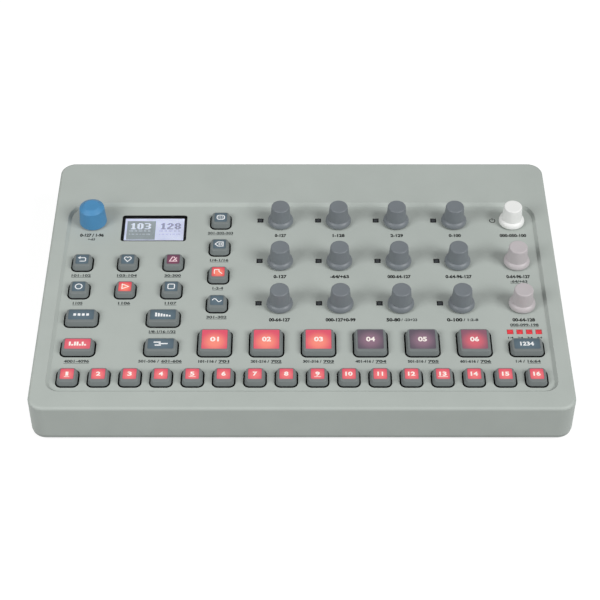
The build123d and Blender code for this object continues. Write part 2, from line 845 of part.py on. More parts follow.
sockets = [usb_port.part, power_inlet.part]
for place in jack_places:
    sockets.append(
        make_jack(
            place, jack_bore_radius, jack_bore_length, jack_nose_radius, jack_width, jack_height, jack_length
        )
    )
for place in mini_jack_places:
    sockets.append(
        make_jack(
            place,
            mini_jack_bore_radius,
            mini_jack_bore_length,
            mini_jack_nose_radius,
            mini_jack_width,
            mini_jack_height,
            mini_jack_length,
        )
    )
export_step(group("rear_sockets", sockets), "parts/rear_sockets.step")
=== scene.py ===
import json
import logging
import math
from dataclasses import dataclass, field
from enum import Enum, IntEnum
from typing import Iterable, NamedTuple, Optional, Sequence

import bpy
from mathutils import Matrix, Vector


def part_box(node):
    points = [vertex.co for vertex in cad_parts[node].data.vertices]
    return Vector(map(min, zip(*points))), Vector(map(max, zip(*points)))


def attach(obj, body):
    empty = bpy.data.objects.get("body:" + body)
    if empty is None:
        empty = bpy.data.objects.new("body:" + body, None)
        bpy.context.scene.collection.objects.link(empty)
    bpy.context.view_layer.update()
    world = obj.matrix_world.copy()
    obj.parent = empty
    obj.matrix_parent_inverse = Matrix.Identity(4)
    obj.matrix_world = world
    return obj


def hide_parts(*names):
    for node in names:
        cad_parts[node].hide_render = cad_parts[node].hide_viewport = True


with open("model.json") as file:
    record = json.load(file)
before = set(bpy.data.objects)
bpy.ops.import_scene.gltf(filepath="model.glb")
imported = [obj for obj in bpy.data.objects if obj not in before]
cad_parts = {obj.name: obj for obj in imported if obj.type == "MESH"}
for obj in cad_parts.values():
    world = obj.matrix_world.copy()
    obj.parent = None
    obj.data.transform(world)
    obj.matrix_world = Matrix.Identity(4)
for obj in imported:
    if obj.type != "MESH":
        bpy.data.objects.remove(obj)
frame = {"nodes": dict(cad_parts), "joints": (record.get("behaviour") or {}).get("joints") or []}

LOG = logging.getLogger("groovebox")
MM = 0.001
TINY = 1e-6
CASE_BODY = "case"
WINDOW_MAP = "window_map"
# The curve from screen colours to linear light.
SRGB_KNEE = 0.04045
SRGB_SLOPE = 12.92
SRGB_OFFSET = 0.055
SRGB_POWER = 2.4
# The usual range of a cloudy pattern, and the share of its finer layers.
CLOUD_LOW = 0.3
CLOUD_HIGH = 0.7
CLOUD_ROUGHNESS = 0.55
# Limits for corners in millimetres, for the bend of a stroke, and steps to the metre for welding.
SMALLEST_RADIUS = 0.01
CORNER_CLEARANCE = 0.001
SHARPEST_LEAN = 0.5
WELD_STEPS = 1e6

Colour = tuple[int, int, int]
Pair = tuple[float, float]
Triple = tuple[float, float, float]
MIDDLE: Pair = (0.0, 0.0)


def linear(colour: Colour) -> tuple[float, float, float, float]:
    """Turn a screen colour into the linear colour that a shader takes.

    Args:
        colour: red, green and blue from 0 to 255.

    Returns:
        The linear red, green, blue and an alpha of 1.
    """
    straight = []
    for share in (value / 255 for value in colour):
        curved = ((share + SRGB_OFFSET) / (1 + SRGB_OFFSET)) ** SRGB_POWER
        straight.append(share / SRGB_SLOPE if share <= SRGB_KNEE else curved)
    return (straight[0], straight[1], straight[2], 1.0)


def shade(colour: Colour, factor: float) -> Colour:
    """Return a screen colour made darker or lighter by a factor."""
    red, green, blue = (min(255, max(0, round(value * factor))) for value in colour)
    return (red, green, blue)


class Shader:
    """One material's node tree around its Principled shader."""

    def __init__(self, name: str) -> None:
        """Start an empty material.

        Args:
            name: the material's name.
        """
        self.material = bpy.data.materials.new(name)
        self.material.use_nodes = True
        self.tree = self.material.node_tree
        self.surface = next(n for n in self.tree.nodes if n.type == "BSDF_PRINCIPLED")

    def set(self, **values: object) -> None:
        """Set constant values on the Principled shader's sockets, named with underscores for spaces."""
        for name, value in values.items():
            self.surface.inputs[name.replace("_", " ")].default_value = value

    def node(self, kind: str, **values: object) -> bpy.types.Node:
        """Add a node and set its constant inputs.

        Args:
            kind: the node's type name without its usual beginning.
            values: socket names with underscores for spaces.

        Returns:
            The new node.
        """
        made = self.tree.nodes.new("ShaderNode" + kind)
        for name, value in values.items():
            made.inputs[name.replace("_", " ")].default_value = value
        return made

    def link(self, output: bpy.types.NodeSocket, target: bpy.types.NodeSocket) -> None:
        """Join an output to an input."""
        self.tree.links.new(output, target)

    def feed(self, output: bpy.types.NodeSocket, *sockets: str) -> None:
        """Join an output to sockets of the Principled shader."""
        for name in sockets:
            self.link(output, self.surface.inputs[name])

    def place(self) -> bpy.types.NodeSocket:
        """Return the point on the piece, in metres."""
        return self.node("TexCoord").outputs["Object"]

    def noise(self, scale: float, detail: float = 2.0) -> bpy.types.NodeSocket:
        """Return a cloudy value that changes over the piece.

        Args:
            scale: patches to the metre.
            detail: finer layers of the pattern.

        Returns:
            A value around one half.
        """
        made = self.node("TexNoise", Scale=scale, Detail=detail, Roughness=CLOUD_ROUGHNESS)
        self.link(self.place(), made.inputs["Vector"])
        return made.outputs["Fac"]

    def spread(self, cloud: bpy.types.NodeSocket, low: float, high: float) -> bpy.types.NodeSocket:
        """Return a cloudy value stretched to a range.

        Args:
            cloud: a value around one half.
            low: result where the value is small.
            high: result where the value is large.

        Returns:
            The stretched value.
        """
        made = self.node("MapRange", From_Min=CLOUD_LOW, From_Max=CLOUD_HIGH, To_Min=low, To_Max=high)
        self.link(cloud, made.inputs["Value"])
        return made.outputs["Result"]

    def blend(self, share: bpy.types.NodeSocket, first: Colour, second: Colour) -> bpy.types.NodeSocket:
        """Return a colour between two, by a share that changes over the piece.

        Args:
            share: 0 for the first colour, 1 for the second.
            first: a screen colour.
            second: a screen colour.

        Returns:
            The mixed colour.
        """
        made = self.node("Mix")
        made.data_type = "RGBA"
        colours = [socket for socket in made.inputs if socket.type == "RGBA"]
        colours[0].default_value = linear(first)
        colours[1].default_value = linear(second)
        self.link(share, made.inputs["Factor"])
        return next(socket for socket in made.outputs if socket.type == "RGBA")

    def mottle(self, colour: Colour, cloud: bpy.types.NodeSocket, shades: Pair) -> bpy.types.NodeSocket:
        """Colour the surface unevenly.

        Args:
            colour: the screen colour around which it changes.
            cloud: a value around one half.
            shades: factors of the darkest and the lightest tone.

        Returns:
            The uneven colour.
        """
        share = self.spread(cloud, 0.0, 1.0)
        tone = self.blend(share, shade(colour, shades[0]), shade(colour, shades[1]))
        self.feed(tone, "Base Color")
        return tone

    def gloss(self, cloud: bpy.types.NodeSocket, low: float, high: float) -> None:
        """Make the surface smoother in some places and rougher in others."""
        self.feed(self.spread(cloud, low, high), "Roughness")

    def grain(self, height: bpy.types.NodeSocket, strength: float, depth: float) -> None:
        """Raise and sink the surface by a pattern.

        Args:
            height: the pattern.
            strength: how far it tilts the surface, from 0 to 1.
            depth: its depth in millimetres.
        """
        made = self.node("Bump", Strength=strength, Distance=depth * MM)
        self.link(height, made.inputs["Height"])
        self.feed(made.outputs["Normal"], "Normal")


@dataclass(frozen=True)
class Finish:
    """A named surface finish."""

    name: str
    colour: Colour

    def draw(self, shader: Shader) -> None:
        """Fill in the shader, in each kind of finish."""
        raise NotImplementedError

    def material(self) -> bpy.types.Material:
        """Make the finish's material on its first use.

        Returns:
            The material.
        """
        made = bpy.data.materials.get(self.name)
        if made is None:
            shader = Shader(self.name)
            shader.set(Base_Color=linear(self.colour))
            self.draw(shader)
            made = shader.material
            made.diffuse_color = linear(self.colour)
        return made


@dataclass(frozen=True)
class MouldedPlastic(Finish):
    """Plastic from a tool with a fine eroded texture, slightly uneven in tone."""

    roughness: float = 0.5
    roughness_change: float = 0.06
    grain: float = 0.25
    grain_detail: float = 3.0
    grain_strength: float = 0.12
    grain_depth: float = 0.05
    mottle: float = 0.02
    patches: float = 45.0
    patch_detail: float = 4.0
    shine: float = 0.4

    def draw(self, shader: Shader) -> None:
        """Give the plastic its tone, its fine texture and its uneven gloss.

        Args:
            shader: the material in the making.
        """
        texture = shader.noise(1 / (self.grain * MM), self.grain_detail)
        patches = shader.noise(self.patches, self.patch_detail)
        shader.mottle(self.colour, patches, (1 - self.mottle, 1 + self.mottle))
        shader.gloss(texture, self.roughness - self.roughness_change, self.roughness + self.roughness_change)
        shader.grain(texture, self.grain_strength, self.grain_depth)
        shader.set(Specular_IOR_Level=self.shine)


@dataclass(frozen=True)
class GlowWindow(Finish):
    """Translucent key window: a diffuse sheet with a lamp behind it that is brightest low in its middle."""

    middle: Colour
    glow: float
    core: float = 0.12
    reach: float = 0.62
    hot_spot: Pair = (0.5, 0.4)
    frost: float = 2500.0
    frost_strength: float = 0.05
    frost_depth: float = 0.03
    roughness: float = 0.42
    shine: float = 0.35

    def draw(self, shader: Shader) -> None:
        """Spread the light from the hot spot to the window's edges.

        Args:
            shader: the material in the making.
        """
        mapped = shader.node("UVMap")
        mapped.uv_map = WINDOW_MAP
        away = shader.node("VectorMath")
        away.operation = "DISTANCE"
        away.inputs[1].default_value = (*self.hot_spot, 0.0)
        shader.link(mapped.outputs["UV"], away.inputs[0])
        fall = shader.node("MapRange", From_Min=self.core, From_Max=self.reach, To_Min=1.0, To_Max=0.0)
        fall.interpolation_type = "SMOOTHSTEP"
        shader.link(away.outputs["Value"], fall.inputs["Value"])
        tone = shader.blend(fall.outputs["Result"], self.colour, self.middle)
        shader.feed(tone, "Base Color", "Emission Color")
        shader.grain(shader.noise(self.frost), self.frost_strength, self.frost_depth)
        shader.set(Emission_Strength=self.glow, Roughness=self.roughness, Specular_IOR_Level=self.shine)


@dataclass(frozen=True)
class Ink(Finish):
    """Printed ink with a slightly uneven film."""

    glow: float = 0.0
    patches: float = 1800.0
    shades: Pair = (0.93, 1.06)
    roughness: float = 0.55
    shine: float = 0.3

    def draw(self, shader: Shader) -> None:
        """Make the film a little thinner in places.

        Args:
            shader: the material in the making.
        """
        shader.mottle(self.colour, shader.noise(self.patches), self.shades)
        shader.set(Roughness=self.roughness, Specular_IOR_Level=self.shine)
        if self.glow:
            shader.set(Emission_Color=linear(self.colour), Emission_Strength=self.glow)


@dataclass(frozen=True)
class Lens(Finish):
    """Small lamp cover, cloudy in tone, and lit where its lamp is on."""

    lit: float = 0.0
    clouds: float = 900.0
    shades: Pair = (0.85, 1.1)
    roughness: float = 0.25
    shine: float = 0.5

    def draw(self, shader: Shader) -> None:
        """Cloud the cover and light it.

        Args:
            shader: the material in the making.
        """
        cloud = shader.mottle(self.colour, shader.noise(self.clouds), self.shades)
        shader.set(Roughness=self.roughness, Specular_IOR_Level=self.shine)
        if self.lit:
            shader.feed(cloud, "Emission Color")
            shader.set(Emission_Strength=self.lit)


@dataclass(frozen=True)
class ScreenCell(Finish):
    """Backlit liquid crystal, with the faint unevenness of its light."""

    glow: float = 0.5
    clouds: float = 120.0
    cloud_detail: float = 1.0
    shades: Pair = (0.97, 1.02)
    roughness: float = 0.6
    shine: float = 0.2

    def draw(self, shader: Shader) -> None:
        """Light the cell softly and a little unevenly.

        Args:
            shader: the material in the making.
        """
        cloud = shader.noise(self.clouds, self.cloud_detail)
        shader.feed(shader.mottle(self.colour, cloud, self.shades), "Emission Color")
        shader.set(Roughness=self.roughness, Emission_Strength=self.glow, Specular_IOR_Level=self.shine)


@dataclass(frozen=True)
class ClearLens(Finish):
    """Clear acrylic with the faintest haze."""

    haze: float = 600.0
    haze_range: Pair = (0.02, 0.08)
    bending: float = 1.2
    shine: float = 0.3

    def draw(self, shader: Shader) -> None:
        """Let the light through and keep a soft gloss."""
        shader.gloss(shader.noise(self.haze), *self.haze_range)
        shader.set(Transmission_Weight=1.0, IOR=self.bending, Specular_IOR_Level=self.shine)


@dataclass(frozen=True)
class Metal(Finish):
    """Plated metal with a fine uneven polish."""

    polish: float = 3000.0
    polish_detail: float = 4.0
    polish_range: Pair = (0.22, 0.4)
    shades: Pair = (0.94, 1.04)

    def draw(self, shader: Shader) -> None:
        """Give the plating its uneven tone and gloss.

        Args:
            shader: the material in the making.
        """
        polish = shader.noise(self.polish, self.polish_detail)
        shader.mottle(self.colour, polish, self.shades)
        shader.gloss(polish, *self.polish_range)
        shader.set(Metallic=1.0)


@dataclass(frozen=True)
class Rubber(Finish):
    """Matt rubber with a dusty grain."""

    grit: float = 1400.0
    grit_detail: float = 4.0
    grit_strength: float = 0.3
    grit_depth: float = 0.1
    shades: Pair = (0.8, 1.25)
    roughness_range: Pair = (0.7, 0.9)
    shine: float = 0.25

    def draw(self, shader: Shader) -> None:
        """Give the rubber its grain and dust.

        Args:
            shader: the material in the making.
        """
        grit = shader.noise(self.grit, self.grit_detail)
        shader.mottle(self.colour, grit, self.shades)
        shader.gloss(grit, *self.roughness_range)
        shader.grain(grit, self.grit_strength, self.grit_depth)
        shader.set(Specular_IOR_Level=self.shine)


@dataclass(frozen=True)
class Laminate(Finish):
    """Circuit board laminate with the weave showing through its lacquer."""

    weave: float = 700.0
    weave_bend: float = 1.5
    weave_detail: float = 2.0
    shades: Pair = (0.85, 1.15)
    roughness: float = 0.35

    def draw(self, shader: Shader) -> None:
        """Show the weave as fine bands.

        Args:
            shader: the material in the making.
        """
        weave = shader.node("TexWave", Scale=self.weave, Distortion=self.weave_bend, Detail=self.weave_detail)
        shader.link(shader.place(), weave.inputs["Vector"])
        dark, light = (shade(self.colour, factor) for factor in self.shades)
        shader.feed(shader.blend(weave.outputs["Fac"], dark, light), "Base Color")
        shader.set(Roughness=self.roughness)


class Glow(Enum):
    """How a key's window is lit."""

    STEP = GlowWindow("step_window_lit", (214, 84, 104), (232, 122, 122), 0.16, reach=0.7)
    PAD = GlowWindow("pad_window_lit", (214, 86, 106), (240, 138, 122), 0.18, hot_spot=(0.5, 0.36))
    PAD_HALF = GlowWindow("pad_window_half_lit", (138, 92, 108), (212, 104, 116), 0.12)
    PAD_DIM = GlowWindow("pad_window_dim", (100, 90, 102), (146, 116, 133), 0.05, hot_spot=(0.5, 0.45))
    KEY = GlowWindow("key_window_lit", (212, 76, 90), (240, 132, 112), 0.18, reach=0.66)
    WIDE = GlowWindow("wide_window_lit", (210, 86, 106), (222, 110, 118), 0.16, reach=0.8)
    DIM = GlowWindow("key_window_dim", (104, 74, 92), (134, 76, 98), 0.06, reach=0.75)
    OFF = GlowWindow("key_window_off", (86, 102, 112), (98, 116, 127), 0.03, reach=0.8)


CASE_PLASTIC = MouldedPlastic("case_finish", (180, 187, 182), 0.52, grain=0.4, mottle=0.012, shine=0.35)
BASE_PLASTIC = MouldedPlastic("base_finish", (166, 172, 168), 0.55, grain=0.5, mottle=0.015, shine=0.35)
KEY_PLASTIC = MouldedPlastic("key_finish", (122, 128, 128), grain=0.3)
# Black painted shade on the keys' foot, flange and stem, darkening the gap around each key.
KEY_SKIRT_PAINTED_SHADE = MouldedPlastic("key_skirt_painted_shade", (14, 15, 16), 0.7, grain=0.3, mottle=0.05, shine=0.2)
GREY_KNOB = MouldedPlastic("grey_knob_finish", (121, 127, 132), 0.42)
BLUE_KNOB = MouldedPlastic("blue_knob_finish", (79, 143, 190), 0.45)
WHITE_KNOB = MouldedPlastic("white_knob_finish", (243, 244, 242), 0.45, mottle=0.01)
PALE_KNOB = MouldedPlastic("pale_knob_finish", (194, 188, 190), 0.45, mottle=0.015)
SOCKET_PLASTIC = MouldedPlastic("socket_finish", (28, 29, 30), 0.45, grain=0.3, mottle=0.06)
CHIP_PLASTIC = MouldedPlastic("chip_finish", (36, 37, 39), 0.6, grain=0.2, mottle=0.05)
FOOT_RUBBER = Rubber("foot_finish", (34, 35, 36))
STEEL = Metal("steel_finish", (196, 198, 200))
BOARD = Laminate("board_finish", (22, 74, 52))
SCREEN_BORDER = MouldedPlastic("screen_border_finish", (10, 11, 13), 0.35, grain=0.2, mottle=0.05)
SCREEN_LENS = ClearLens("screen_lens", (245, 247, 250))
SCREEN_LIGHT = ScreenCell("screen_light", (208, 211, 230))
SCREEN_SHADED = ScreenCell("screen_shaded", (146, 154, 155))
SCREEN_PALE = ScreenCell("screen_pale", (218, 222, 230))
SCREEN_DARK = ScreenCell("screen_dark", (150, 152, 174))
DARK_INK = Ink("print_dark", (6, 7, 8))
GREY_INK = Ink("print_grey", (58, 63, 63))
WHITE_INK = Ink("key_glyph_white", (240, 242, 244), glow=0.08)
WARM_INK = Ink("key_glyph_lit", (250, 236, 230), glow=0.12)
ROSE_INK = Ink("key_glyph_rose", (246, 214, 221), glow=0.1)
LAMP_OFF = Lens("lamp_off", (66, 70, 74))
# Dark rim of the unlit lamp covers: painted shade of the hole around each cover.
LAMP_RIM_SHADE = Lens("lamp_rim_painted_shade", (24, 26, 29))
LAMP_RED = Lens("lamp_red", (214, 58, 66), lit=0.2)


def span(points: Iterable[Vector]) -> tuple[list[float], list[float]]:
    """Return the lowest and the highest corner of the points' box."""
    columns = list(zip(*points))
    return [min(column) for column in columns], [max(column) for column in columns]


def add_object(name: str, data: bpy.types.ID) -> bpy.types.Object:
    """Put a new object into the scene.

    Args:
        name: its name.
        data: its mesh, curve, light or camera.

    Returns:
        The object.
    """
    made = bpy.data.objects.new(name, data)
    bpy.context.scene.collection.objects.link(made)
    return made


class Extent(NamedTuple):
    """Where a node lies in the panel's frame, in millimetres."""

    across: float
    along: float
    width: float
    depth: float
    low: float
    high: float


@dataclass(frozen=True)
class Panel:
    """Frame of the sloping panel: across it, along it and square to its surface."""

    origin: Vector
    across: Vector
    along: Vector
    normal: Vector

    @classmethod
    def of_frame(cls, joints: Sequence[dict]) -> "Panel":
        """Find the panel from the main volume knob's joint, which turns on its surface.

        Args:
            joints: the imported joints.

        Returns:
            The panel's frame.
        """
        turn = next(joint for joint in joints if joint["name"] == "main_volume_knob_turn")
        normal = Vector(turn["axis"]).normalized()
        across = Vector((1, 0, 0))
        along = normal.cross(across).normalized()
        return cls(normal * Vector(turn["pos_m"]).dot(normal), across, along, normal)

    def matrix(self, across: float = 0.0, along: float = 0.0) -> Matrix:
        """Return the matrix from millimetres around a place on the panel to metres.

        Args:
            across: the place across the panel.
            along: the place along the panel.

        Returns:
            A matrix that turns, scales and moves.
        """
        columns = [axis * MM for axis in (self.across, self.along, self.normal)]
        place = self.origin + columns[0] * across + columns[1] * along
        rows = [[c[i] for c in columns] + [place[i]] for i in range(3)]
        return Matrix(rows + [[0, 0, 0, 1]])

    def local(self, point: Vector) -> Vector:
        """Return a point of the CAD frame in the panel's millimetres."""
        away = point - self.origin
        return Vector((away.dot(self.across), away.dot(self.along), away.dot(self.normal))) / MM

    def extent(self, node: str) -> Extent:
        """Measure a node in the panel's frame.

        Args:
            node: the node's name.

        Returns:
            Its middle, width, depth, and lowest and highest point.
        """
        low, high = span(self.local(vertex.co) for vertex in frame["nodes"][node].data.vertices)
        middle = [(a + b) / 2 for a, b in zip(low, high)]
        return Extent(middle[0], middle[1], high[0] - low[0], high[1] - low[1], low[2], high[2])


class Face(NamedTuple):
    """One face of a piece in the making."""

    corners: tuple[int, ...]
    slot: int
    smooth: bool


def rounded_ring(
    width: float, depth: float, radius: float, height: float, shift: float = 0.0, steps: int = 7
) -> list[Vector]:
    """Return the points of a rectangle with round corners.

    Args:
        width: size across.
        depth: size along.
        radius: radius of the corners.
        height: height of the ring.
        shift: move along.
        steps: steps in each corner.

    Returns:
        Points anticlockwise from above.
    """
    most = min(width, depth) / 2 - CORNER_CLEARANCE
    radius = max(SMALLEST_RADIUS, min(radius, most))
    points = []
    for quarter, (side, end) in enumerate(((1, -1), (1, 1), (-1, 1), (-1, -1))):
        for step in range(steps + 1):
            angle = math.radians(90 * (quarter - 1 + step / steps))
            x = side * (width / 2 - radius) + radius * math.cos(angle)
            y = end * (depth / 2 - radius) + radius * math.sin(angle) + shift
            points.append(Vector((x, y, height)))
    return points


def rounded_outline(width: float, depth: float, radius: float, steps: int = 7) -> list[Pair]:
    """Return the corners of a rectangle with round corners, as seen from above."""
    return [(p.x, p.y) for p in rounded_ring(width, depth, radius, 0.0, steps=steps)]


def block(x: float, y: float, width: float, depth: float) -> list[Pair]:
    """Return the corners of a plain rectangle around its middle."""
    w, d = width / 2, depth / 2
    return [(x - w, y - d), (x + w, y - d), (x + w, y + d), (x - w, y + d)]


def arc(centre: Pair, radius: float, start: float, end: float, steps: int) -> list[Pair]:
    """Return points along an arc around a centre, from one angle in degrees to another."""
    angles = [math.radians(start + (end - start) * i / steps) for i in range(steps + 1)]
    return [(centre[0] + radius * math.cos(a), centre[1] + radius * math.sin(a)) for a in angles]


def spokes(steps: int) -> list[Pair]:
    """Return the directions of as many points around a circle."""
    return [(math.cos(math.tau * i / steps), math.sin(math.tau * i / steps)) for i in range(steps)]


def rounded_line(corners: Sequence[Triple], steps: int = 6) -> list[Pair]:
    """Return a line of points whose inner corners are rounded.

    Args:
        corners: radius from the axis, height, and rounding of each corner.
        steps: steps in each rounding.

    Returns:
        The line's points.
    """
    line: list[Pair] = []
    for index, (r, z, rounding) in enumerate(corners):
        if not rounding or index in (0, len(corners) - 1):
            line.append((r, z))
            continue
        here = Vector((r, z))
        back = (Vector(corners[index - 1][:2]) - here).normalized()
        ahead = (Vector(corners[index + 1][:2]) - here).normalized()
        half = back.angle(ahead) / 2
        reach = rounding / math.tan(half)
        start, end = here + back * reach, here + ahead * reach
        centre = here + (back + ahead).normalized() * (rounding / math.sin(half))
        for step in range(steps + 1):
            towards = (start - centre).slerp(end - centre, step / steps).normalized()
            line.append(tuple(centre + towards * rounding))
    return line


class PieceMaker:
    """Gathers one piece's faces in millimetres and turns them into a Blender object."""

    def __init__(self) -> None:
        """Start with no faces."""
        self.points: list[Vector] = []
        self.faces: list[Face] = []
        self.maps: dict[int, Pair] = {}

    def ring(self, points: Iterable[Vector]) -> list[int]:
        """Add points.

        Args:
            points: the points, in order.

        Returns:
            Their numbers.
        """
        first = len(self.points)
        self.points.extend(Vector(p) for p in points)
        return list(range(first, len(self.points)))

    def turned(self, turns: Sequence[Pair], point: Pair, centre: Pair) -> list[int]:
        """Add a ring around an upright axis, from its directions, its radius and height, and its centre."""
        radius, height = point
        return self.ring(Vector((centre[0] + radius * c, centre[1] + radius * s, height)) for c, s in turns)

    def bridge(self, lower: Sequence[int], upper: Sequence[int], slot: int, smooth: bool = True) -> None:
        """Join two rings of as many points with a band of faces.

        Args:
            lower: the ring that the outline meets first.
            upper: the next ring.
            slot: the material's place on the piece.
            smooth: whether the band is curved.
        """
        count = len(lower)
        for i in range(count):
            j = (i + 1) % count
            self.faces.append(Face((lower[i], lower[j], upper[j], upper[i]), slot, smooth))

    def skin(self, rings: Sequence[Sequence[int]], slot: int, smooth: bool = True) -> None:
        """Join each ring to the next, in the outline's order."""
        for lower, upper in zip(rings, rings[1:]):
            self.bridge(lower, upper, slot, smooth)

    def close(self, ring: Sequence[int], slot: int, upward: bool = True) -> None:
        """Fill a ring, which runs anticlockwise from above, with one flat face that looks up or down."""
        corners = tuple(ring) if upward else tuple(reversed(ring))
        self.faces.append(Face(corners, slot, False))

    def fan(self, ring: Sequence[int], tip: Triple, slot: int, last: bool) -> None:
        """Join a ring to a point on its axis.

        Args:
            ring: the ring.
            tip: the point.
            slot: the material's place on the piece.
            last: whether the outline meets the point after the ring.
        """
        end = self.ring([Vector(tip)])[0]
        for here, ahead in zip(ring, [*ring[1:], ring[0]]):
            self.faces.append(Face((here, ahead, end) if last else (end, ahead, here), slot, True))

    def lathe(self, line: Sequence[Pair], slot: int, centre: Pair, steps: int) -> None:
        """Turn a line around an upright axis, on which its ends may lie.

        Args:
            line: radius and height of its points, from below outwards to the top.
            slot: the material's place on the piece.
            centre: where the axis stands.
            steps: faces around the axis.
        """
        turns = spokes(steps)
        rings = [self.turned(turns, point, centre) for point in line if point[0] >= TINY]
        self.skin(rings, slot)
        for (radius, height), ring, last in ((line[0], rings[0], False), (line[-1], rings[-1], True)):
            if radius < TINY:
                self.fan(ring, (*centre, height), slot, last)

    def prism(self, outline: Sequence[Pair], low: float, high: float, slot: int) -> None:
        """Add an upright block over an outline.

        Args:
            outline: corners anticlockwise from above.
            low: height of its underside.
            high: height of its top.
            slot: the material's place on the piece.
        """
        bottom = self.ring(Vector((x, y, low)) for x, y in outline)
        top = self.ring(Vector((x, y, high)) for x, y in outline)
        self.close(bottom, slot, upward=False)
        self.bridge(bottom, top, slot, smooth=False)
        self.close(top, slot)

    def bar(self, centre: Pair, size: Pair, low: float, high: float, slot: int) -> None:
        """Add a small block with square corners."""
        self.prism(block(*centre, *size), low, high, slot)

    def stroke(
        self, line: Sequence[Pair], width: float, low: float, high: float, slot: int, closed: bool = False
    ) -> None:
        """Add a raised line of even width.

        Args:
            line: the points it follows.
            width: its width.
            low: height of its underside.
            high: height of its top.
            slot: the material's place on the piece.
            closed: whether it returns to its start.
        """
        points = [Vector(p) for p in line]
        count = len(points)
        left, right = [], []
        for i, here in enumerate(points):
            back = points[i - 1] if closed or i else here - (points[1] - here)
            ahead = points[(i + 1) % count] if closed or i < count - 1 else here + (here - points[i - 1])
            before, after = (here - back).normalized(), (ahead - here).normalized()
            square = Vector((-(before.y + after.y), before.x + after.x)).normalized()
            lean = max(SHARPEST_LEAN, square.dot(Vector((-after.y, after.x))))
            left.append(here + square * (width / 2 / lean))
            right.append(here - square * (width / 2 / lean))
        rings = [
            self.ring(Vector((p.x, p.y, h)) for p in side)
            for side, h in ((right, low), (left, low), (left, high), (right, high))
        ]
        for first, second in zip(rings, rings[1:] + rings[:1]):
            for i in range(count if closed else count - 1):
                j = (i + 1) % count
                self.faces.append(Face((first[i], second[i], second[j], first[j]), slot, False))
        if not closed:
            self.faces.append(Face(tuple(ring[0] for ring in reversed(rings)), slot, False))
            self.faces.append(Face(tuple(ring[-1] for ring in rings), slot, False))

    def take(self, mesh: bpy.types.Mesh, matrix: Matrix, slot: int) -> None:
        """Add another mesh's faces.

        Args:
            mesh: the mesh.
            matrix: where it goes, in millimetres.
            slot: the material's place on the piece.
        """
        first = len(self.points)
        self.points.extend(matrix @ vertex.co for vertex in mesh.vertices)
        for polygon in mesh.polygons:
            self.faces.append(Face(tuple(first + v for v in polygon.vertices), slot, False))

    def copy(self, mesh: bpy.types.Mesh, faces: Sequence[int], slot: int) -> None:
        """Add some faces of a node's mesh where they stand.

        Args:
            mesh: the node's mesh.
            faces: the faces' numbers.
            slot: the material's place on the piece.
        """
        for number in faces:
            ring = self.ring(mesh.vertices[v].co for v in mesh.polygons[number].vertices)
            self.faces.append(Face(tuple(ring), slot, False))

    def map_flat(self, ring: Sequence[int], centre: Pair, size: Pair) -> None:
        """Give points their place on a window, from 0 to 1 each way.

        Args:
            ring: the points.
            centre: the window's middle.
            size: the window's width and depth.
        """
        for number in ring:
            point = self.points[number]
            self.maps[number] = ((point.x - centre[0]) / size[0] + 0.5, (point.y - centre[1]) / size[1] + 0.5)

    def build(
        self, name: str, matrix: Matrix, finishes: Sequence[Finish], crease: float = 35.0
    ) -> bpy.types.Object:
        """Make the Blender object.

        Args:
            name: the piece's name.
            matrix: from the piece's own measure to metres.
            finishes: its finishes, in the order of the slots.
            crease: angle in degrees over which an edge stays sharp.

        Returns:
            The object, with its place in its mesh.
        """
        mesh = bpy.data.meshes.new(name)
        mesh.from_pydata([matrix @ p for p in self.points], [], [f.corners for f in self.faces])
        mesh.polygons.foreach_set("material_index", [int(f.slot) for f in self.faces])
        mesh.polygons.foreach_set("use_smooth", [f.smooth for f in self.faces])
        for finish in finishes:
            mesh.materials.append(finish.material())
        if self.maps:
            layer = mesh.uv_layers.new(name=WINDOW_MAP)
            for loop in mesh.loops:
                layer.data[loop.index].uv = self.maps.get(loop.vertex_index, (0.5, 0.5))
        mesh.set_sharp_from_angle(angle=math.radians(crease))
        mesh.validate()
        return add_object(name, mesh)


def settle(piece: bpy.types.Object, body: str, slot: Optional[str], *nodes: str) -> None:
    """Let a piece ride on its body, hide the nodes it stands for, and report it.

    Args:
        piece: the finished object.
        body: the body that carries it.
        slot: the record's material slot, if it has one; not used.
        nodes: the nodes that it stands for.
    """
    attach(piece, body)
    if nodes:
        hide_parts(*nodes)
    LOG.info("%s rides on %s with %d faces", piece.name, body, len(piece.data.polygons))


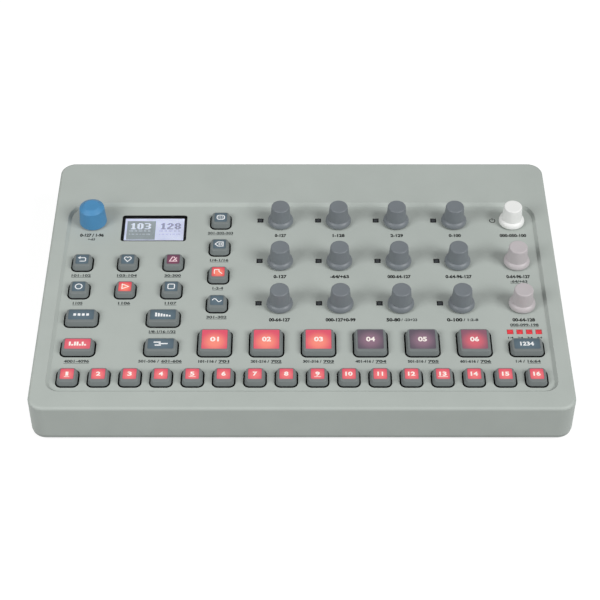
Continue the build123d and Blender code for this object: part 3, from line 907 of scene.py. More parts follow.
@dataclass
class Lettering:
    """Plain upright figures, cut from Blender's own font as raised meshes."""

    curve_steps: int = 3
    half_thickness: float = 0.5
    cut: dict[tuple[str, float], bpy.types.Mesh] = field(default_factory=dict)

    def mesh(self, text: str, weight: float) -> bpy.types.Mesh:
        """Cut a text one unit thick, centred across.

        Args:
            text: figures and signs.
            weight: how far the strokes are thickened.

        Returns:
            Its mesh, cut once for each text and weight.
        """
        key = (text, weight)
        if key not in self.cut:
            curve = bpy.data.curves.new("figures", "FONT")
            curve.body, curve.align_x, curve.resolution_u = text, "CENTER", self.curve_steps
            curve.extrude, curve.offset, curve.fill_mode = self.half_thickness, weight, "BOTH"
            holder = add_object("figures", curve)
            bpy.context.view_layer.update()
            shaped = holder.evaluated_get(bpy.context.evaluated_depsgraph_get())
            self.cut[key] = bpy.data.meshes.new_from_object(shaped)
            bpy.data.objects.remove(holder)
            bpy.data.curves.remove(curve)
        return self.cut[key]

    def set(
        self, maker: PieceMaker, text: str, centre: Pair, size: Pair, heights: Pair, slot: int, weight: float
    ) -> None:
        """Set a text into a piece, stretched to a width and a figure height.

        Args:
            maker: the piece.
            text: figures and signs.
            centre: middle of the text.
            size: width of the text and height of its figures.
            heights: its underside and its top.
            slot: the material's place on the piece.
            weight: how far the strokes are thickened.
        """
        figure = [v.co.y for v in self.mesh("0", weight).vertices]
        base, tall = min(figure), max(figure) - min(figure)
        mesh = self.mesh(text, weight)
        sides = [v.co.x for v in mesh.vertices]
        wide = max(sides) - min(sides)
        stretch = Matrix.Diagonal((size[0] / wide, size[1] / tall, heights[1] - heights[0], 1))
        middle = Vector(((max(sides) + min(sides)) / 2, base + tall / 2, 0))
        place = Vector((*centre, (heights[0] + heights[1]) / 2))
        maker.take(mesh, Matrix.Translation(place) @ stretch @ Matrix.Translation(-middle), slot)


class Sign(Enum):
    """Signs on the key windows."""

    FIGURE = "figure"
    RETURN = "return arrow"
    HEART = "heart"
    METRONOME = "metronome"
    RING = "ring"
    TRIANGLE = "triangle"
    SQUARE = "square"
    PULSE = "pulse"
    WAVE = "wave"
    GRID = "grid"
    LIST = "list"
    DOTS = "dots"
    STEPS = "steps"
    LANES = "lanes"
    BARS = "bars"


class Stroke(NamedTuple):
    """One line of a sign, in millimetres around the window's middle."""

    points: Sequence[Pair]
    closed: bool = False


HEART_RIGHT = arc((0.85, 0.75), 0.95, -25, 155, 8)
HEART_LEFT = arc((-0.85, 0.75), 0.95, 25, 205, 8)
RETURN_LINE = ((-1.2, 1.1), (1.3, 1.1), (1.8, 0.6), (1.8, -1.0), (1.3, -1.5), (-1.3, -1.5))
WAVE_LINE = [(0.2 * i - 2.4, 1.1 * math.sin(i * math.tau / 24)) for i in range(25)]
SIGN_STROKES: dict[Sign, tuple[Stroke, ...]] = {
    Sign.RETURN: (Stroke(RETURN_LINE),),
    Sign.HEART: (Stroke([(0, -1.9), *HEART_RIGHT, *HEART_LEFT], closed=True),),
    Sign.METRONOME: (
        Stroke(((-1.9, -1.5), (1.9, -1.5), (0.5, 1.6), (-0.5, 1.6)), closed=True),
        Stroke(((-0.1, -1.1), (1.9, 1.1))),
    ),
    Sign.RING: (Stroke(arc((0, 0), 1.75, 0, 345, 23), closed=True),),
    Sign.TRIANGLE: (Stroke(((-1.5, -1.7), (1.9, 0.0), (-1.5, 1.7)), closed=True),),
    Sign.SQUARE: (Stroke(rounded_outline(3.4, 3.4, 0.7, steps=3), closed=True),),
    Sign.PULSE: (Stroke(((-2.0, -1.5), (-2.0, 1.5), (0.4, 1.5), (0.4, 0.2), (2.1, -1.5))),),
    Sign.WAVE: (Stroke(WAVE_LINE),),
    Sign.GRID: (Stroke(rounded_outline(4.0, 3.2, 1.1, steps=4), closed=True),),
    Sign.LIST: (Stroke(((1.9, 1.6), (1.9, -1.6), (-0.8, -1.6), (-2.3, 0.0), (-0.8, 1.6)), closed=True),),
}
STEP_PATTERN = (True, False, True, True, False, True, False)
LANE_SPANS = ((-3.6, 3.6), (-1.0, 4.6), (-3.0, 3.2))
BAR_HEIGHTS = [2.7 - 0.34 * i for i in range(6)]
SIGN_FILLS: dict[Sign, Sequence[Sequence[Pair]]] = {
    Sign.RETURN: [((-2.4, 1.1), (-1.0, 0.1), (-1.0, 2.1))],
    Sign.GRID: [block(x, y, 0.5, 0.5) for x in (-1.0, 0.0, 1.0) for y in (0.45, -0.55)],
    Sign.LIST: [block(x, 0.0, 0.5, 1.6) for x in (-0.2, 0.9)],
    Sign.DOTS: [block(-3.3 + 2.2 * i, 0.0, 1.4, 1.6) for i in range(4)],
    Sign.STEPS: [
        block(-3.9 + 1.3 * i, 0.0 if high else -0.8, 0.95, 2.6 if high else 1.0)
        for i, high in enumerate(STEP_PATTERN)
    ],
    Sign.LANES: [block(left + wide / 2, 1.0 - i, wide, 0.72) for i, (left, wide) in enumerate(LANE_SPANS)],
    Sign.BARS: [block(-3.5 + 1.4 * i, tall / 2 - 1.35, 0.95, tall) for i, tall in enumerate(BAR_HEIGHTS)],
}


@dataclass
class SignWriter:
    """Draws signs on a window with raised strokes and fills."""

    maker: PieceMaker
    centre: Pair
    low: float
    high: float
    slot: int
    weight: float = 0.5

    def moved(self, points: Iterable[Pair]) -> list[Pair]:
        """Return points moved to the window's middle."""
        return [(x + self.centre[0], y + self.centre[1]) for x, y in points]

    def draw(self, sign: Sign) -> None:
        """Draw one sign.

        Args:
            sign: which sign.
        """
        for points, closed in SIGN_STROKES.get(sign, ()):
            self.maker.stroke(self.moved(points), self.weight, self.low, self.high, self.slot, closed)
        for corners in SIGN_FILLS.get(sign, ()):
            self.maker.prism(self.moved(corners), self.low, self.high, self.slot)


@dataclass(frozen=True)
class KeyLook:
    """What one key's window shows."""

    glow: Glow
    sign: Sign = Sign.FIGURE
    figure: str = ""
    figure_size: Pair = (0.0, 0.0)
    underlined: bool = False
    ink: Finish = WHITE_INK


class KeySlot(IntEnum):
    """Where each finish lies on a key."""

    CAP = 0
    WINDOW = 1
    GLYPH = 2
    # The foot, flange and stem, black as painted shade for the gap around the key.
    SKIRT = 3


@dataclass
class Keys:
    """Keys and pads: tapered caps with a lit window set towards the rear of the top."""

    panel: Panel
    lettering: Lettering
    flange_growth: float = 2.6
    flange_top: float = -2.5
    flange_thickness: float = 1.0
    flange_radius: float = 3.2
    corner_radius: float = 2.4
    shoulder: float = 0.5
    shoulder_rounding: float = 0.5
    flank_angle: float = 15.0
    edge_radius: float = 0.4
    edge_steps: int = 5
    # Height above the panel to which the black painted shade of the foot reaches.
    skirt_height: float = 0.2
    border: float = 1.0
    setback: float = 0.55
    window_radius: float = 0.7
    window_edge: float = 0.06
    window_edge_drop: float = 0.05
    groove: float = 0.07
    groove_depth: float = 0.12
    stem_radius: float = 1.6
    stem_steps: int = 24
    glyph_rise: float = 0.03
    glyph_sink: float = 0.02
    figure_weight: float = 0.035
    one_width: float = 1.4
    digit_width: float = 2.2
    digit_height: float = 2.7
    pad_figure_size: Pair = (4.5, 3.2)
    rule_drop: float = 0.6
    rule_overhang: float = 1.2
    rule_width: float = 0.28
    step_count: int = 16
    beat_steps: int = 4
    pad_glows: tuple[Glow, ...] = (Glow.PAD, Glow.PAD, Glow.PAD, Glow.PAD_DIM, Glow.PAD_DIM, Glow.PAD_HALF)
    signed_keys: dict[str, KeyLook] = field(
        default_factory=lambda: {
            "back_key": KeyLook(Glow.OFF, Sign.RETURN),
            "favourite_key": KeyLook(Glow.OFF, Sign.HEART),
            "tempo_key": KeyLook(Glow.DIM, Sign.METRONOME, ink=ROSE_INK),
            "record_key": KeyLook(Glow.OFF, Sign.RING),
            "play_key": KeyLook(Glow.KEY, Sign.TRIANGLE, ink=WARM_INK),
            "stop_key": KeyLook(Glow.OFF, Sign.SQUARE),
            "preset_key": KeyLook(Glow.OFF, Sign.GRID),
            "quantise_key": KeyLook(Glow.OFF, Sign.LIST),
            "click_key": KeyLook(Glow.KEY, Sign.PULSE, ink=WARM_INK),
            "wave_key": KeyLook(Glow.OFF, Sign.WAVE),
            "function_key": KeyLook(Glow.OFF, Sign.DOTS),
            "retrigger_key": KeyLook(Glow.OFF, Sign.BARS),
            "pattern_key": KeyLook(Glow.WIDE, Sign.STEPS, ink=WARM_INK),
            "track_key": KeyLook(Glow.OFF, Sign.LANES),
            "page_key": KeyLook(Glow.OFF, figure="1234", figure_size=(6.9, 2.7)),
        }
    )

    def looks(self) -> dict[str, tuple[KeyLook, str]]:
        """Choose what each key shows.

        Returns:
            Each key's look and material slot, by its node's name.
        """
        found: dict[str, tuple[KeyLook, str]] = {}
        for number in range(1, self.step_count + 1):
            wide = sum(self.one_width if digit == "1" else self.digit_width for digit in str(number))
            first = number % self.beat_steps == 1
            look = KeyLook(Glow.STEP, Sign.FIGURE, str(number), (wide, self.digit_height), first, WARM_INK)
            found[f"step_key_{number:02d}"] = (look, "key_plastic")
        for number, glow in enumerate(self.pad_glows, 1):
            look = KeyLook(glow, figure=f"0{number}", figure_size=self.pad_figure_size, ink=WARM_INK)
            found[f"pad_{number}"] = (look, "pad_plastic")
        found.update({name: (look, "key_plastic") for name, look in self.signed_keys.items()})
        return found

    def build(self) -> None:
        """Build every key and dress its window."""
        for name, (look, slot) in self.looks().items():
            self.build_key(name, look, slot)

    def build_key(self, name: str, look: KeyLook, slot: str) -> None:
        """Build one key.

        Args:
            name: its node's name.
            look: what its window shows.
            slot: its material slot.
        """
        extent = self.panel.extent(name)
        width, depth = extent.width - self.flange_growth, extent.depth - self.flange_growth
        maker = PieceMaker()
        self.wall(maker, width, depth, extent)
        opening, size = self.top(maker, width, depth, extent.high)
        self.window(maker, opening, size, extent.high)
        self.glyph(maker, look, extent.high)
        finishes = (KEY_PLASTIC, look.glow.value, look.ink, KEY_SKIRT_PAINTED_SHADE)
        piece = maker.build(f"{name}_cap", self.panel.matrix(extent.across, extent.along), finishes)
        settle(piece, name, slot, name)

    def wall(self, maker: PieceMaker, width: float, depth: float, extent: Extent) -> None:
        """Add the stem, the flange and the foot of the cap, black as painted shade that darkens the gap
        around the key.

        Args:
            maker: the piece.
            width: the cap's width.
            depth: the cap's depth.
            extent: the node's place.
        """
        top, low = self.flange_top, self.flange_top - self.flange_thickness
        stem = [(0, extent.low), (self.stem_radius, extent.low), (self.stem_radius, low)]
        maker.lathe(stem, KeySlot.SKIRT, MIDDLE, self.stem_steps)
        grown = (width + self.flange_growth, depth + self.flange_growth, self.flange_radius)
        foot = (width, depth, self.corner_radius)
        outline = ((*grown, low), (*grown, top), (*foot, top), (*foot, self.skirt_height))
        rings = [maker.ring(rounded_ring(*sides)) for sides in outline]
        maker.close(rings[0], KeySlot.SKIRT, upward=False)
        maker.skin(rings, KeySlot.SKIRT)

    def top(self, maker: PieceMaker, width: float, depth: float, high: float) -> tuple[list[int], Pair]:
        """Add the cap's flanks, its soft upper edge and the border around its window.

        Args:
            maker: the piece.
            width: the cap's width.
            depth: the cap's depth.
            high: height of the cap's top.

        Returns:
            The ring of the window's opening, and the window's size.
        """
        inset = (high - self.shoulder) * math.tan(math.radians(self.flank_angle))
        corners = (
            (0, self.skirt_height, 0),
            (0, self.shoulder, self.shoulder_rounding),
            (-inset, high, self.edge_radius),
            (-inset - self.border, high, 0),
        )
        rings = []
        for offset, height in rounded_line(corners, self.edge_steps)[:-1]:
            sides = (width + 2 * offset, depth + 2 * offset, self.corner_radius + offset)
            rings.append(maker.ring(rounded_ring(*sides, height)))
        maker.skin(rings, KeySlot.CAP)
        size = (width - 2 * (inset + self.border), depth - 2 * (inset + self.border))
        opening = maker.ring(rounded_ring(*size, self.window_radius, high, self.setback))
        maker.bridge(rings[-1], opening, KeySlot.CAP, smooth=False)
        return opening, size

    def window(self, maker: PieceMaker, opening: list[int], size: Pair, high: float) -> None:
        """Add the window's insert in its opening, with a fine groove around it.

        Args:
            maker: the piece.
            opening: the ring of the opening.
            size: the opening's size.
            high: height of the cap's top.
        """
        floor = high - self.groove_depth
        steps = (
            (0.0, floor, KeySlot.CAP),
            (self.groove, floor, KeySlot.CAP),
            (self.groove, high - self.window_edge_drop, KeySlot.WINDOW),
            (self.groove + self.window_edge, high, KeySlot.WINDOW),
        )
        before = opening
        for inset, height, slot in steps:
            sides = (size[0] - 2 * inset, size[1] - 2 * inset, self.window_radius - inset)
            ring = maker.ring(rounded_ring(*sides, height, self.setback))
            maker.bridge(before, ring, slot)
            maker.map_flat(ring, (0.0, self.setback), size)
            before = ring
        maker.close(before, KeySlot.WINDOW)

    def glyph(self, maker: PieceMaker, look: KeyLook, high: float) -> None:
        """Add the window's figure or sign.

        Args:
            maker: the piece.
            look: what the window shows.
            high: height of the cap's top.
        """
        heights = (high - self.glyph_sink, high + self.glyph_rise)
        centre, slot = (0.0, self.setback), KeySlot.GLYPH
        width, tall = look.figure_size
        if look.sign is Sign.FIGURE:
            self.lettering.set(maker, look.figure, centre, (width, tall), heights, slot, self.figure_weight)
        else:
            SignWriter(maker, centre, *heights, slot).draw(look.sign)
        if look.underlined:
            below = (centre[0], centre[1] - tall / 2 - self.rule_drop)
            maker.bar(below, (width + self.rule_overhang, self.rule_width), *heights, slot)


class KnobSlot(IntEnum):
    """Where each finish lies on a knob."""

    GRIP = 0
    SHAFT = 1


@dataclass
class Knobs:
    """Knobs: slim grips on a rounded skirt, and a stout drum for the data knob."""

    panel: Panel
    gap: float = 0.8
    tall: float = 11.1
    radius: float = 6.9
    lip: float = 0.7
    lip_rounding: float = 0.4
    waist_radius: float = 5.5
    waist: float = 3.0
    skirt_steps: int = 10
    top_radius: float = 4.85
    edge_rounding: float = 0.6
    relief_radius: float = 4.4
    relief_rounding: float = 0.15
    relief: float = 1.2
    bore: float = 3.0
    shaft_chamfer: float = 0.4
    shaft_steps: int = 32
    crown: float = 3.0
    dish: float = 0.12
    dish_rim: float = 1.0
    dish_rounding: float = 0.3
    drum_tall: float = 11.8
    drum_radius: float = 7.4
    drum_shoulder_radius: float = 6.65
    drum_shoulder: float = 10.2
    drum_shoulder_rounding: float = 0.5
    drum_top_radius: float = 4.1
    steps: int = 96
    crease: float = 50.0
    special: dict[str, tuple[Finish, str]] = field(
        default_factory=lambda: {
            "main_volume_knob": (WHITE_KNOB, "white_knob_plastic"),
            "reverb_size_knob": (PALE_KNOB, "pale_knob_plastic"),
            "delay_time_knob": (PALE_KNOB, "pale_knob_plastic"),
            "data_knob": (BLUE_KNOB, "blue_knob_plastic"),
        }
    )

    def names(self) -> list[str]:
        """Return the knobs' node names, in order."""
        return sorted(name for name in frame["nodes"] if name.endswith("_knob"))

    def underside(self, radius: float) -> list[Triple]:
        """Return the corners of the hollow underside, out to the foot of the skirt.

        Args:
            radius: radius of the skirt.

        Returns:
            Radius, height and rounding of each corner.
        """
        roof = self.gap + self.relief
        return [
            (self.bore, roof, 0),
            (self.relief_radius, roof, 0),
            (self.relief_radius, self.gap, self.relief_rounding),
            (radius, self.gap, self.lip_rounding),
        ]

    def crown_corners(self, top_radius: float, tall: float) -> list[Triple]:
        """Return the corners of a rounded edge and a shallow dish.

        Args:
            top_radius: radius of the top.
            tall: height of the knob.

        Returns:
            Radius, height and rounding of each corner.
        """
        high = self.gap + tall
        edge = (top_radius, high, self.edge_rounding)
        rim = (top_radius - self.dish_rim, high, self.dish_rounding)
        return [edge, rim, (0.0, high - self.dish, 0)]

    def grip_line(self) -> list[Pair]:
        """Draw the outline of a knob with a skirt.

        Returns:
            Radius and height of its points, from the bore outwards to the top.
        """
        lip_top, waist = self.gap + self.lip, self.gap + self.waist
        rise, run = waist - lip_top, self.radius - self.waist_radius
        sweep = (run * run + rise * rise) / (2 * run)
        end = math.degrees(math.asin(rise / sweep))
        skirt = arc((self.radius - sweep, lip_top), sweep, 0, end, self.skirt_steps)
        lower = rounded_line([*self.underside(self.radius), (self.radius, lip_top, 0)])[:-1]
        upper = rounded_line([(*skirt[-1], 0), *self.crown_corners(self.top_radius, self.tall)])
        return [*lower, *skirt[:-1], *upper]

    def drum_line(self) -> list[Pair]:
        """Draw the outline of the data knob.

        Returns:
            Radius and height of its points, from the bore outwards to the top.
        """
        shoulder = (self.drum_shoulder_radius, self.gap + self.drum_shoulder, self.drum_shoulder_rounding)
        crown = self.crown_corners(self.drum_top_radius, self.drum_tall)
        return rounded_line([*self.underside(self.drum_radius), shoulder, *crown])

    def shaft_line(self, low: float) -> list[Pair]:
        """Return the outline of a shaft from its foot to its chamfered top."""
        top, chamfer = self.gap + self.tall - self.crown, self.shaft_chamfer
        return [(0, low), (self.bore, low), (self.bore, top - chamfer), (self.bore - chamfer, top), (0, top)]

    def build(self) -> None:
        """Build and dress every knob with its shaft."""
        for name in self.names():
            finish, slot = self.special.get(name, (GREY_KNOB, "grey_knob_plastic"))
            extent = self.panel.extent(name)
            line = self.drum_line() if name == "data_knob" else self.grip_line()
            maker = PieceMaker()
            maker.lathe(line, KnobSlot.GRIP, MIDDLE, self.steps)
            maker.lathe(self.shaft_line(extent.low), KnobSlot.SHAFT, MIDDLE, self.shaft_steps)
            matrix = self.panel.matrix(extent.across, extent.along)
            settle(maker.build(f"{name}_cap", matrix, (finish, STEEL), self.crease), name, slot, name)


PIXEL_FIGURES: dict[str, tuple[str, ...]] = {
    "0": ("01110", "11011", "11011", "11011", "11011", "11011", "01110"),
    "1": ("00110", "01110", "00110", "00110", "00110", "00110", "01111"),
    "2": ("01110", "11011", "00011", "00110", "01100", "11000", "11111"),
    "3": ("11110", "00011", "00011", "01110", "00011", "00011", "11110"),
    "8": ("01110", "11011", "11011", "01110", "11011", "11011", "01110"),
}


class ScreenSlot(IntEnum):
    """Where each finish lies on the display."""

    BORDER = 0
    LIT = 1
    SHADED = 2
    PALE = 3
    DARK = 4
    FRAME = 5


class MarkRow(NamedTuple):
    """A row of small marks: its distance from the field's rear, which marks it has, and their height."""

    drop: float
    marks: str
    tall: float


@dataclass
class Display:
    """Display: a clear lens over a black border, a backlit cell with figures, and the frame behind."""

    panel: Panel
    margin: float = 4.2
    lens_top: float = -0.2
    lens_thickness: float = 0.15
    lens_gap: float = 0.02
    lens_edge: float = 0.05
    corner_radius: float = 1.5
    liner: float = 0.12
    liner_top: float = -0.06
    border_thickness: float = 0.1
    border_rise: float = 0.05
    lit_border: Pair = (1.5, 1.45)
    lit_radius: float = 0.3
    cell_height: float = -1.1
    cell_top: float = -1.22
    cell_low: float = -2.45
    frame_top: float = -2.4
    frame_low: float = -5.0
    frame_radius: float = 0.6
    peg_radius: float = 1.2
    peg_inset: float = 2.9
    peg_steps: int = 24
    film: float = 0.02
    sink: float = 0.01
    block_margin: float = 1.2
    block_rear: float = 2.0
    block_front: float = 0.6
    block_overlap: float = 0.6
    pixel: float = 0.68
    figure_pitch: int = 6
    figure_drop: float = 1.6
    left_figures: str = "103"
    left_start: float = 1.4
    right_figures: str = "128"
    right_start: float = 2.2
    mark_start: float = 0.3
    mark_pitch: float = 0.72
    mark_width: float = 0.42
    mark_rows: tuple[MarkRow, ...] = (
        MarkRow(7.7, "1110110111011011", 0.62),
        MarkRow(10.2, "1011011010110111", 0.42),
    )

    def build(self) -> None:
        """Build the display and let it stand for its node."""
        extent = self.panel.extent("display_module")
        width, depth = extent.width - self.margin, extent.depth - self.margin
        maker, glass = PieceMaker(), PieceMaker()
        self.border(maker, width, depth)
        self.frame_behind(maker, width, depth, extent)
        self.picture(maker, *self.lit_size(width, depth))
        self.lens(glass, width, depth)
        finishes = (SCREEN_BORDER, SCREEN_LIGHT, SCREEN_SHADED, SCREEN_PALE, SCREEN_DARK, SOCKET_PLASTIC)
        matrix = self.panel.matrix(extent.across, extent.along)
        screen = maker.build("display_screen", matrix, finishes)
        settle(screen, CASE_BODY, "display_glass", "display_module")
        lens = glass.build("display_lens", matrix, (SCREEN_LENS,))
        settle(lens, CASE_BODY, "display_glass", "display_module")

    def lit_size(self, width: float, depth: float) -> Pair:
        """Return the lit field's width and depth, from the lens's."""
        return (width - 2 * self.lit_border[0], depth - 2 * self.lit_border[1])

    def border(self, maker: PieceMaker, width: float, depth: float) -> None:
        """Add the black border that lines the opening and surrounds the lit field.

        Args:
            maker: the piece.
            width: the lens's width.
            depth: the lens's depth.
        """
        outer = (width, depth, self.corner_radius)
        inner = (width - 2 * self.liner, depth - 2 * self.liner, self.corner_radius - self.liner)
        lit = (*self.lit_size(width, depth), self.lit_radius)
        rise = self.cell_height + self.border_rise
        outline = (
            (*outer, self.cell_height - self.border_thickness),
            (*outer, self.liner_top),
            (*inner, self.liner_top),
            (*inner, rise),
            (*lit, rise),
            (*lit, self.cell_height),
        )
        rings = [maker.ring(rounded_ring(*sides)) for sides in outline]
        maker.close(rings[0], ScreenSlot.BORDER, upward=False)
        maker.skin(rings, ScreenSlot.BORDER, smooth=False)
        maker.close(rings[-1], ScreenSlot.LIT)

    def frame_behind(self, maker: PieceMaker, width: float, depth: float, extent: Extent) -> None:
        """Add the cell's body, the frame and its pegs.

        Args:
            maker: the piece.
            width: the lens's width.
            depth: the lens's depth.
            extent: the node's place.
        """
        cell = rounded_outline(width, depth, self.corner_radius)
        maker.prism(cell, self.cell_low, self.cell_top, ScreenSlot.FRAME)
        outer = rounded_outline(extent.width, extent.depth, self.frame_radius)
        maker.prism(outer, self.frame_low, self.frame_top, ScreenSlot.FRAME)
        peg = [(0, extent.low), (self.peg_radius, extent.low), (self.peg_radius, self.frame_low)]
        for place in block(0, 0, width - 2 * self.peg_inset, depth - 2 * self.peg_inset):
            maker.lathe(peg, ScreenSlot.FRAME, place, self.peg_steps)

    def lens(self, maker: PieceMaker, width: float, depth: float) -> None:
        """Add the clear lens with a softened upper edge.

        Args:
            maker: the piece.
            width: the lens's width.
            depth: the lens's depth.
        """
        reach = self.liner + self.lens_gap
        top, low = self.lens_top, self.lens_top - self.lens_thickness
        rings = []
        for inset, height in ((0.0, low), (0.0, top - self.lens_edge), (self.lens_edge, top)):
            sides = (width - 2 * (reach + inset), depth - 2 * (reach + inset), self.corner_radius - reach)
            rings.append(maker.ring(rounded_ring(*sides, height)))
        maker.close(rings[0], 0, upward=False)
        maker.skin(rings, 0, smooth=False)
        maker.close(rings[-1], 0)

    def picture(self, maker: PieceMaker, width: float, depth: float) -> None:
        """Add the two fields of the picture with their figures and rows of marks.

        Args:
            maker: the piece.
            width: the lit field's width.
            depth: the lit field's depth.
        """
        left, half = self.block_margin - width / 2, width / 2 - self.block_margin + self.block_overlap
        rear, front = depth / 2 - self.block_rear, self.block_front - depth / 2
        low, high = self.cell_height - self.sink, self.cell_height + self.film
        middle = (left + half / 2, (rear + front) / 2)
        maker.bar(middle, (half, rear - front), low, high, ScreenSlot.SHADED)
        heights = (low, high + self.film)
        fields = (
            (self.left_figures, left + self.left_start, ScreenSlot.PALE),
            (self.right_figures, left + half + self.right_start, ScreenSlot.DARK),
        )
        for text, start, slot in fields:
            self.figures(maker, text, (start, rear - self.figure_drop), heights, slot)
            for row in self.mark_rows:
                size = (self.mark_width, row.tall)
                for i, mark in enumerate(row.marks):
                    if mark == "1":
                        place = (start + self.mark_start + self.mark_pitch * i, rear - row.drop)
                        maker.bar(place, size, *heights, slot)

    def figures(self, maker: PieceMaker, text: str, corner: Pair, heights: Pair, slot: int) -> None:
        """Add figures made of square dots.

        Args:
            maker: the piece.
            text: the figures.
            corner: rear left corner of the first figure.
            heights: underside and top of the dots.
            slot: the material's place on the piece.
        """
        for index, figure in enumerate(text):
            for row, dots in enumerate(PIXEL_FIGURES[figure]):
                for column, dot in enumerate(dots):
                    if dot == "1":
                        x = corner[0] + self.pixel * (self.figure_pitch * index + column + 0.5)
                        y = corner[1] - self.pixel * (row + 0.5)
                        maker.bar((x, y), (self.pixel, self.pixel), *heights, slot)


def islands(mesh: bpy.types.Mesh) -> list[list[int]]:
    """Sort a mesh's faces into its separate solids.

    Args:
        mesh: the mesh.

    Returns:
        A list of face numbers for each solid.
    """
    place: dict[tuple[int, ...], int] = {}
    parent: list[int] = []

    def root(number: int) -> int:
        """Find the group of a corner.

        Args:
            number: the corner's number.

        Returns:
            The number that stands for its group.
        """
        while parent[number] != number:
            parent[number] = parent[parent[number]]
            number = parent[number]
        return number

    spots = []
    for vertex in mesh.vertices:
        key = tuple(round(value * WELD_STEPS) for value in vertex.co)
        if key not in place:
            place[key] = len(parent)
            parent.append(len(parent))
        spots.append(place[key])
    for polygon in mesh.polygons:
        first = root(spots[polygon.vertices[0]])
        for vertex in polygon.vertices[1:]:
            parent[root(spots[vertex])] = first
    found: dict[int, list[int]] = {}
    for polygon in mesh.polygons:
        found.setdefault(root(spots[polygon.vertices[0]]), []).append(polygon.index)
    return list(found.values())


def corners_of(mesh: bpy.types.Mesh, faces: Sequence[int]) -> list[Vector]:
    """Return the corners of some faces of a mesh."""
    return [mesh.vertices[v].co for f in faces for v in mesh.polygons[f].vertices]


class BoardSlot(IntEnum):
    """Where each finish lies on the boards."""

    LAMINATE = 0
    PART = 1


class LampSlot(IntEnum):
    """Where each finish lies on the lamps."""

    OFF = 0
    RED = 1
    # The sides and outer border of an unlit cover, dark as painted shade.
    RIM = 2


@dataclass
class Boards:
    """Circuit boards with their parts, and the lamps that show in the panel."""

    panel: Panel
    lamp_top: float = -0.1
    lamp_top_tolerance: float = 0.05
    lamp_size: float = 3.1
    lamp_size_tolerance: float = 0.2
    lamp_radius: float = 0.35
    cover_line: tuple[Pair, ...] = ((0.0, -4.0), (0.0, -0.12), (0.12, -0.02), (0.6, 0.0))
    page_reach: float = 16.0
    board_width: float = 100.0

    def build(self) -> None:
        """Build the boards and the lamps."""
        mesh = frame["nodes"]["circuit_board"].data
        lamps: list[Pair] = []
        board = PieceMaker()
        for solid in islands(mesh):
            low, high = span(self.panel.local(co) for co in corners_of(mesh, solid))
            wide = high[0] - low[0]
            small = wide < self.lamp_size + self.lamp_size_tolerance
            if small and abs(high[2] - self.lamp_top) < self.lamp_top_tolerance:
                lamps.append(((high[0] + low[0]) / 2, (high[1] + low[1]) / 2))
            board.copy(mesh, solid, BoardSlot.LAMINATE if wide > self.board_width else BoardSlot.PART)
        piece = board.build("boards", Matrix.Identity(4), (BOARD, CHIP_PLASTIC))
        settle(piece, CASE_BODY, "board_laminate", "circuit_board")
        self.build_lamps(lamps)

    def build_lamps(self, places: Sequence[Pair]) -> None:
        """Build the lamps' covers: ones beside the knobs with a rim darkened as painted shade of the hole
        around them, and red ones over the page key.

        Args:
            places: the lamps' places on the panel.
        """
        page = self.panel.extent("page_key").along
        maker = PieceMaker()
        for across, along in places:
            lit = along < page + self.page_reach
            cover, rim = (LampSlot.RED, LampSlot.RED) if lit else (LampSlot.OFF, LampSlot.RIM)
            rings = []
            for inset, height in self.cover_line:
                size = self.lamp_size - 2 * inset
                points = rounded_ring(size, size, self.lamp_radius, height)
                rings.append(maker.ring(p + Vector((across, along, 0)) for p in points))
            maker.close(rings[0], rim, upward=False)
            maker.skin(rings, rim)
            maker.close(rings[-1], cover)
        piece = maker.build("panel_lamps", self.panel.matrix(), (LAMP_OFF, LAMP_RED, LAMP_RIM_SHADE))
        settle(piece, CASE_BODY, "board_laminate", "circuit_board")


class Label(NamedTuple):
    """One printed label in front of a control."""

    node: str
    text: str
    width: float
    drop: float
    grey: bool
    underlined: bool
    shift: float = 0.0


def labels(drop: float, grey: bool, underlined: bool, *rows: tuple) -> list[Label]:
    """Return labels that lie as far from their controls and look alike.

    Args:
        drop: how far they lie in front of the middle of their controls.
        grey: whether they are grey.
        underlined: whether they have a rule.
        rows: each label's node, text and width, and its shift to the side if it has one.

    Returns:
        The labels.
    """
    return [Label(node, text, width, drop, grey, underlined, *shift) for node, text, width, *shift in rows]


KNOB_DROP = 10.4
SECOND_DROP = 13.95
DATA_DROP = 10.15
DATA_SECOND_DROP = 13.3
KEY_DROP = 8.5
PAD_DROP = 11.6
KNOB_LABELS = labels(
    KNOB_DROP,
    False,
    False,
    ("pitch_knob", "0-127", 6.2),
    ("decay_knob", "1-128", 6.5),
    ("colour_knob", "2-129", 6.8),
    ("shape_knob", "0-100", 6.6),
    ("main_volume_knob", "000-050-100", 14.4),
    ("sweep_knob", "0-127", 6.9),
    ("contour_knob", "-64/+63", 9.9),
    ("delay_send_knob", "000-64-127", 12.3),
    ("reverb_send_knob", "0-64-96-127", 13.9),
    ("reverb_size_knob", "0-64-96-127", 12.5),
    ("lfo_speed_knob", "00-64-127", 10.9),
    ("distortion_knob", "000-127+0-99", 15.4),
    ("swing_knob", "50-80", 7.2, -4.2),
    ("chance_knob", "0-100", 8.0, -4.1),
    ("delay_time_knob", "00-64-128", 11.6),
)
KEY_LABELS = labels(
    KEY_DROP,
    True,
    True,
    ("preset_key", "201-202-203", 13.7),
    ("quantise_key", "1/4-1/16", 9.8),
    ("click_key", "1-2-4", 5.6),
    ("wave_key", "301-302", 10.5),
    ("back_key", "101-102", 10.2),
    ("favourite_key", "103-104", 10.5),
    ("tempo_key", "30-300", 8.7),
    ("record_key", "1105", 5.1),
    ("play_key", "1106", 6.3),
    ("stop_key", "1107", 6.1),
    ("retrigger_key", "1/8-1/16-1/32", 13.7),
    ("pattern_key", "4001-4096", 12.7),
    ("track_key", "601-606", 10.3, 5.8),
    ("page_key", "16:64", 6.6, 3.0),
)
